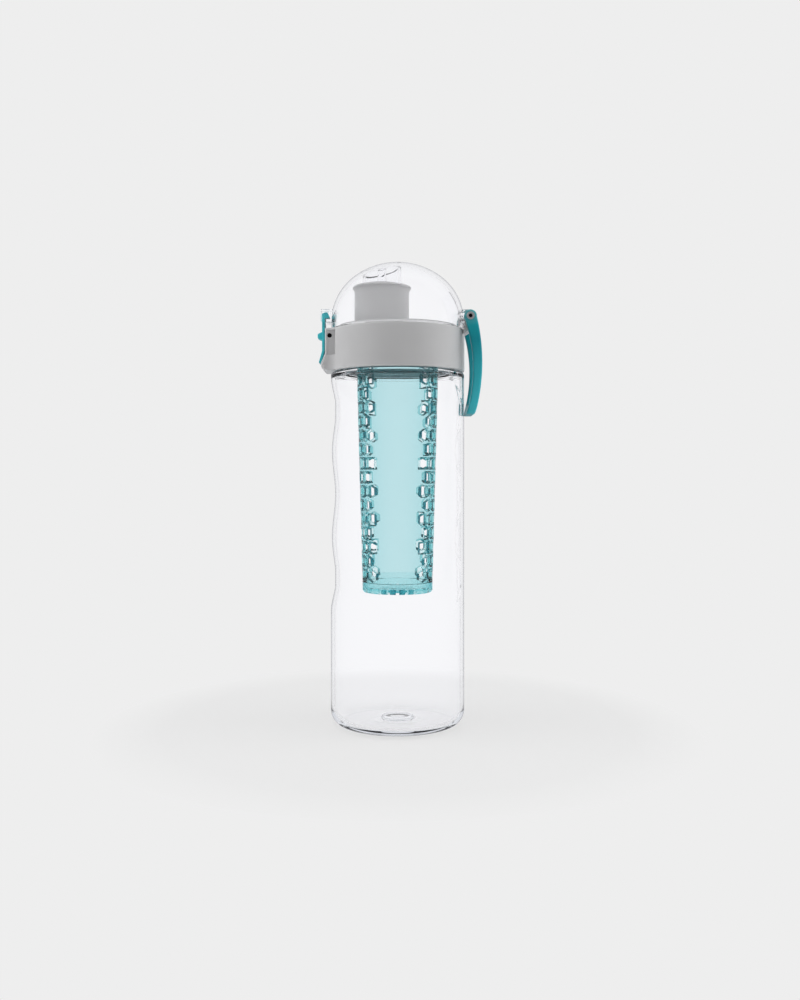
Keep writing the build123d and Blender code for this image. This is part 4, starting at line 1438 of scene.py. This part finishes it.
for (oy, oz), (iy, iz) in zip(outside, within):
    span = math.hypot(oy - iy, oz - iz)
    for across, deep, run, stand in section:
        share = (across * (span - 2 * loop_edge) + loop_edge * (1 + run)) / span
        y = iy + (oy - iy) * share
        z = iz + (oz - iz) * share
        front = through_three(outer_face, min(z, loop_top)) - loop_edge
        back = through_three(inner_face, min(z, loop_top)) + loop_edge
        x = (front if deep else back) + stand * loop_edge
        loop_points.append((x, y, z))
count = len(section)
loop_faces = [list(range(count)), [len(loop_points) - count + j for j in range(count)]]
for i in range(len(outside) - 1):
    for j in range(count):
        k = (j + 1) % count
        quad = [i * count + j, i * count + k, (i + 1) * count + k, (i + 1) * count + j]
        loop_faces.append(quad)
strap = make_mesh("loop_blank", loop_points, loop_faces)
eye_line = [
    (0, -loop_eye_half),
    (loop_eye_radius - 0.6, -loop_eye_half),
    (loop_eye_radius - 0.2, 0.2 - loop_eye_half),
    (loop_eye_radius, 0.6 - loop_eye_half),
]
eye_line += [(r, -y) for r, y in eye_line[::-1]]
arm_middle = (loop_outer + loop_inner) / 2
steps = []
for side in (-1, 1):
    eye_place = (hinge_place[0], side * arm_middle, hinge_place[1])
    eye = turned_piece(f"loop_eye{side}", eye_line, 96, eye_place, along_y=True)
    steps.append((eye, "UNION"))
loop_bore = cross_rod("loop_bore", hinge_pin_radius + running_gap, hinge_place, 18.0)
loop = combine("carry_strap", strap, *steps, (loop_bore, "DIFFERENCE"))

strap_plastic, strap_shader = moulded_finish("teal_strap_plastic", (0.0, 0.3, 0.36), 0.38, 0.08)
strap_shader.inputs["Specular IOR Level"].default_value = 0.3
strap_tree = strap_plastic.node_tree
# The strap's colour follows its height: lighter at the foot, darkest above the middle and lighter
# again at the eyes, with a little random tone; painted light and shade along the arms.
where = add_node(strap_tree, "ShaderNodeTexCoord").outputs["Object"]
height = Figure(strap_tree, add_node(strap_tree, "ShaderNodeSeparateXYZ", {0: where}).outputs[2])
loop_length = loop_top + loop_eye_radius - loop_foot
share = (height - loop_foot * mm) / (loop_length * mm)
share = share + (noise(strap_tree, 50.0, 2.0) - 0.5) * 0.12
painted_light_by_height = add_node(strap_tree, "ShaderNodeValToRGB", {0: share})
stops = painted_light_by_height.color_ramp.elements
for place_share, color in (
    (0.45, (0.02, 0.35, 0.41, 1)),
    (0.7, (0.0, 0.23, 0.28, 1)),
    (0.85, (0.0, 0.29, 0.34, 1)),
):
    stops.new(place_share).color = color
stops[0].color = (0.045, 0.47, 0.54, 1)
stops[-1].color = (0.12, 0.42, 0.45, 1)
strap_tree.links.new(painted_light_by_height.outputs[0], strap_shader.inputs["Base Color"])
set_out(smoothed(loop), "loop", "teal_solid", "carry_loop", material=strap_plastic)


# The latch lever is a teal rocker on its own pin. Its hook holds the dome's catch, and the bump
# below is pressed with the thumb.
lever_half = 5.6
lever_back = -39.4
lever_front = -40.9
lever_middle = (lever_back + lever_front) / 2
lever_top = 223.5
lever_knee = 202.7
lever_foot = 196.3
foot_stand = 1.8
hook_tip = -36.75
hook_under = 220.4
bump_face = -43.4
web_half_height = 1.9
lever_line = [
    (hook_tip, hook_under),
    (lever_back, hook_under),
    (lever_back, lever_knee),
    (lever_back - foot_stand, lever_foot),
    (lever_front - foot_stand, lever_foot),
    (lever_front, lever_knee),
    (lever_front, lever_top - 0.75),
    (lever_back, lever_top),
    (lever_back + 1.5, lever_top),
    (hook_tip, hook_under + 0.8),
]
web = box_outline(
    lever_middle, latch_place[0], latch_place[1] - web_half_height, latch_place[1] + web_half_height
)
bump_line = [(lever_middle, 208.7), (bump_face, 209.7), (bump_face, 212.1), (lever_middle, 213.6)]
lever = combine(
    "latch_rocker",
    prism("lever_blank", lever_line, lever_half, 0.25),
    (prism("lever_web", web, lever_half - 0.1, 0.1), "UNION"),
    (cross_rod("lever_boss", boss_radius, latch_place, lever_half, 0.2), "UNION"),
    (prism("thumb_bump", bump_line, 4.0, 0.5), "UNION"),
    (cross_rod("lever_bore", latch_pin_radius + running_gap, latch_place, 7.0), "DIFFERENCE"),
)
teal_solid, teal_solid_shader = moulded_finish(
    "teal_solid_plastic", (0.04, 0.46, 0.52), 0.38, grain=0.08, shift=0.12
)
teal_solid_shader.inputs["Specular IOR Level"].default_value = 0.3
set_out(smoothed(lever), "latch", "teal_solid", "latch_lever", material=teal_solid)


# The latch pin is a dark steel rod through the housing's cheeks.
latch_pin_half = 11.1
latch_pin = cross_rod("latch_axle", latch_pin_radius, latch_place, latch_pin_half, 0.15)
set_out(smoothed(latch_pin), "lid", "dark_steel", "latch_pin", material=dark_steel)


# A small coil spring of steel wire stands behind the lever and pushes it back.
coil_tree, strip, sizes, end = node_tree(
    "wire_coil",
    {
        "Coil Radius": "Float",
        "Wire Radius": "Float",
        "Sides": "Int",
        "Coils": "Float",
        "Length": "Float",
        "Start": "Float",
        "Height": "Float",
        "Material": "Material",
    },
)
where = add_node(coil_tree, "GeometryNodeInputPosition")
parts = add_node(coil_tree, "ShaderNodeSeparateXYZ", {0: where.outputs[0]})
along, row, unused = (Figure(coil_tree, socket) for socket in parts.outputs)
turn = along * sizes["Coils"] * (2 * math.pi)
round_wire = row / sizes["Sides"] * (2 * math.pi)
reach = sizes["Coil Radius"] + sizes["Wire Radius"] * round_wire.math("COSINE")
run = sizes["Start"] - along * sizes["Length"] + sizes["Wire Radius"] * round_wire.math("SINE")
moved = add_node(
    coil_tree,
    "ShaderNodeCombineXYZ",
    {0: run, 1: reach * turn.math("COSINE"), 2: reach * turn.math("SINE") + sizes["Height"]},
)
wound = add_node(
    coil_tree, "GeometryNodeSetPosition", {"Geometry": strip, "Position": moved.outputs[0]}
)
finish_tree(coil_tree, wound.outputs[0], end, [(sizes["Material"], None)])
wire_sides = 10
spring = grown(
    "latch_coil",
    flat_strip("coil_strip", 90, wire_sides),
    coil_tree,
    {
        "Coil Radius": 2.0 * mm,
        "Wire Radius": 0.2 * mm,
        "Sides": wire_sides,
        "Coils": 2.5,
        "Length": 2.5 * mm,
        "Start": -36.67 * mm,
        "Height": 204.3 * mm,
        "Material": steel,
    },
)
set_out(smoothed(faces_out(spring)), "lid", "steel", "latch_spring")
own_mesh(spring)


# The table is a plain pale sheet. The camera sees it in the background's own grey, with only the
# bottle's soft shadow on it.
table_reach = 0.9
table_drop = 0.5 * mm
corners = ((-1, -1), (1, -1), (1, 1), (-1, 1))
floor_mesh = bpy.data.meshes.new("table")
floor_mesh.from_pydata(
    [(x * table_reach, y * table_reach, 0) for x, y in corners], [], [(0, 1, 2, 3)]
)
floor = bpy.data.objects.new("table", floor_mesh)
floor.location = (0, 0, -table_drop)
collection.objects.link(floor)
table = bpy.data.materials.new("table_sheet")
table.use_nodes = True
tree = table.node_tree
shader = tree.nodes["Principled BSDF"]
shader.inputs["Base Color"].default_value = (0.8, 0.8, 0.8, 1)
shader.inputs["Roughness"].default_value = 0.9


def sheet_light(color):
    """The table's face in a colour that no light or shadow changes."""
    return add_node(tree, "ShaderNodeEmission", {"Color": color}).outputs[0]


shadow_share = 0.3
where = add_node(tree, "ShaderNodeTexCoord").outputs["Object"]
length = add_node(tree, "ShaderNodeVectorMath", {0: where}, operation="LENGTH")
near = Figure(tree, length.outputs["Value"]) * -8.0 + 1.3
near = near.math("MINIMUM", shadow_share).math("MAXIMUM", 0.0)
kinds, passed, bent = ray_kinds(tree)
beyond = mix(tree, passed, sheet_light(mirrored_grey), sheet_light(sheet_white))
pale = mix(tree, bent, sheet_light(seen_grey), beyond)
shaded = mix(tree, near, pale, shader.outputs[0])
looked = Figure(tree, kinds["Is Camera Ray"]).math("MAXIMUM", bent)
ground = mix(tree, looked, shader.outputs[0], shaded)
tree.links.new(ground, tree.nodes["Material Output"].inputs["Surface"])
floor_mesh.materials.append(table)

bpy.context.view_layer.update()
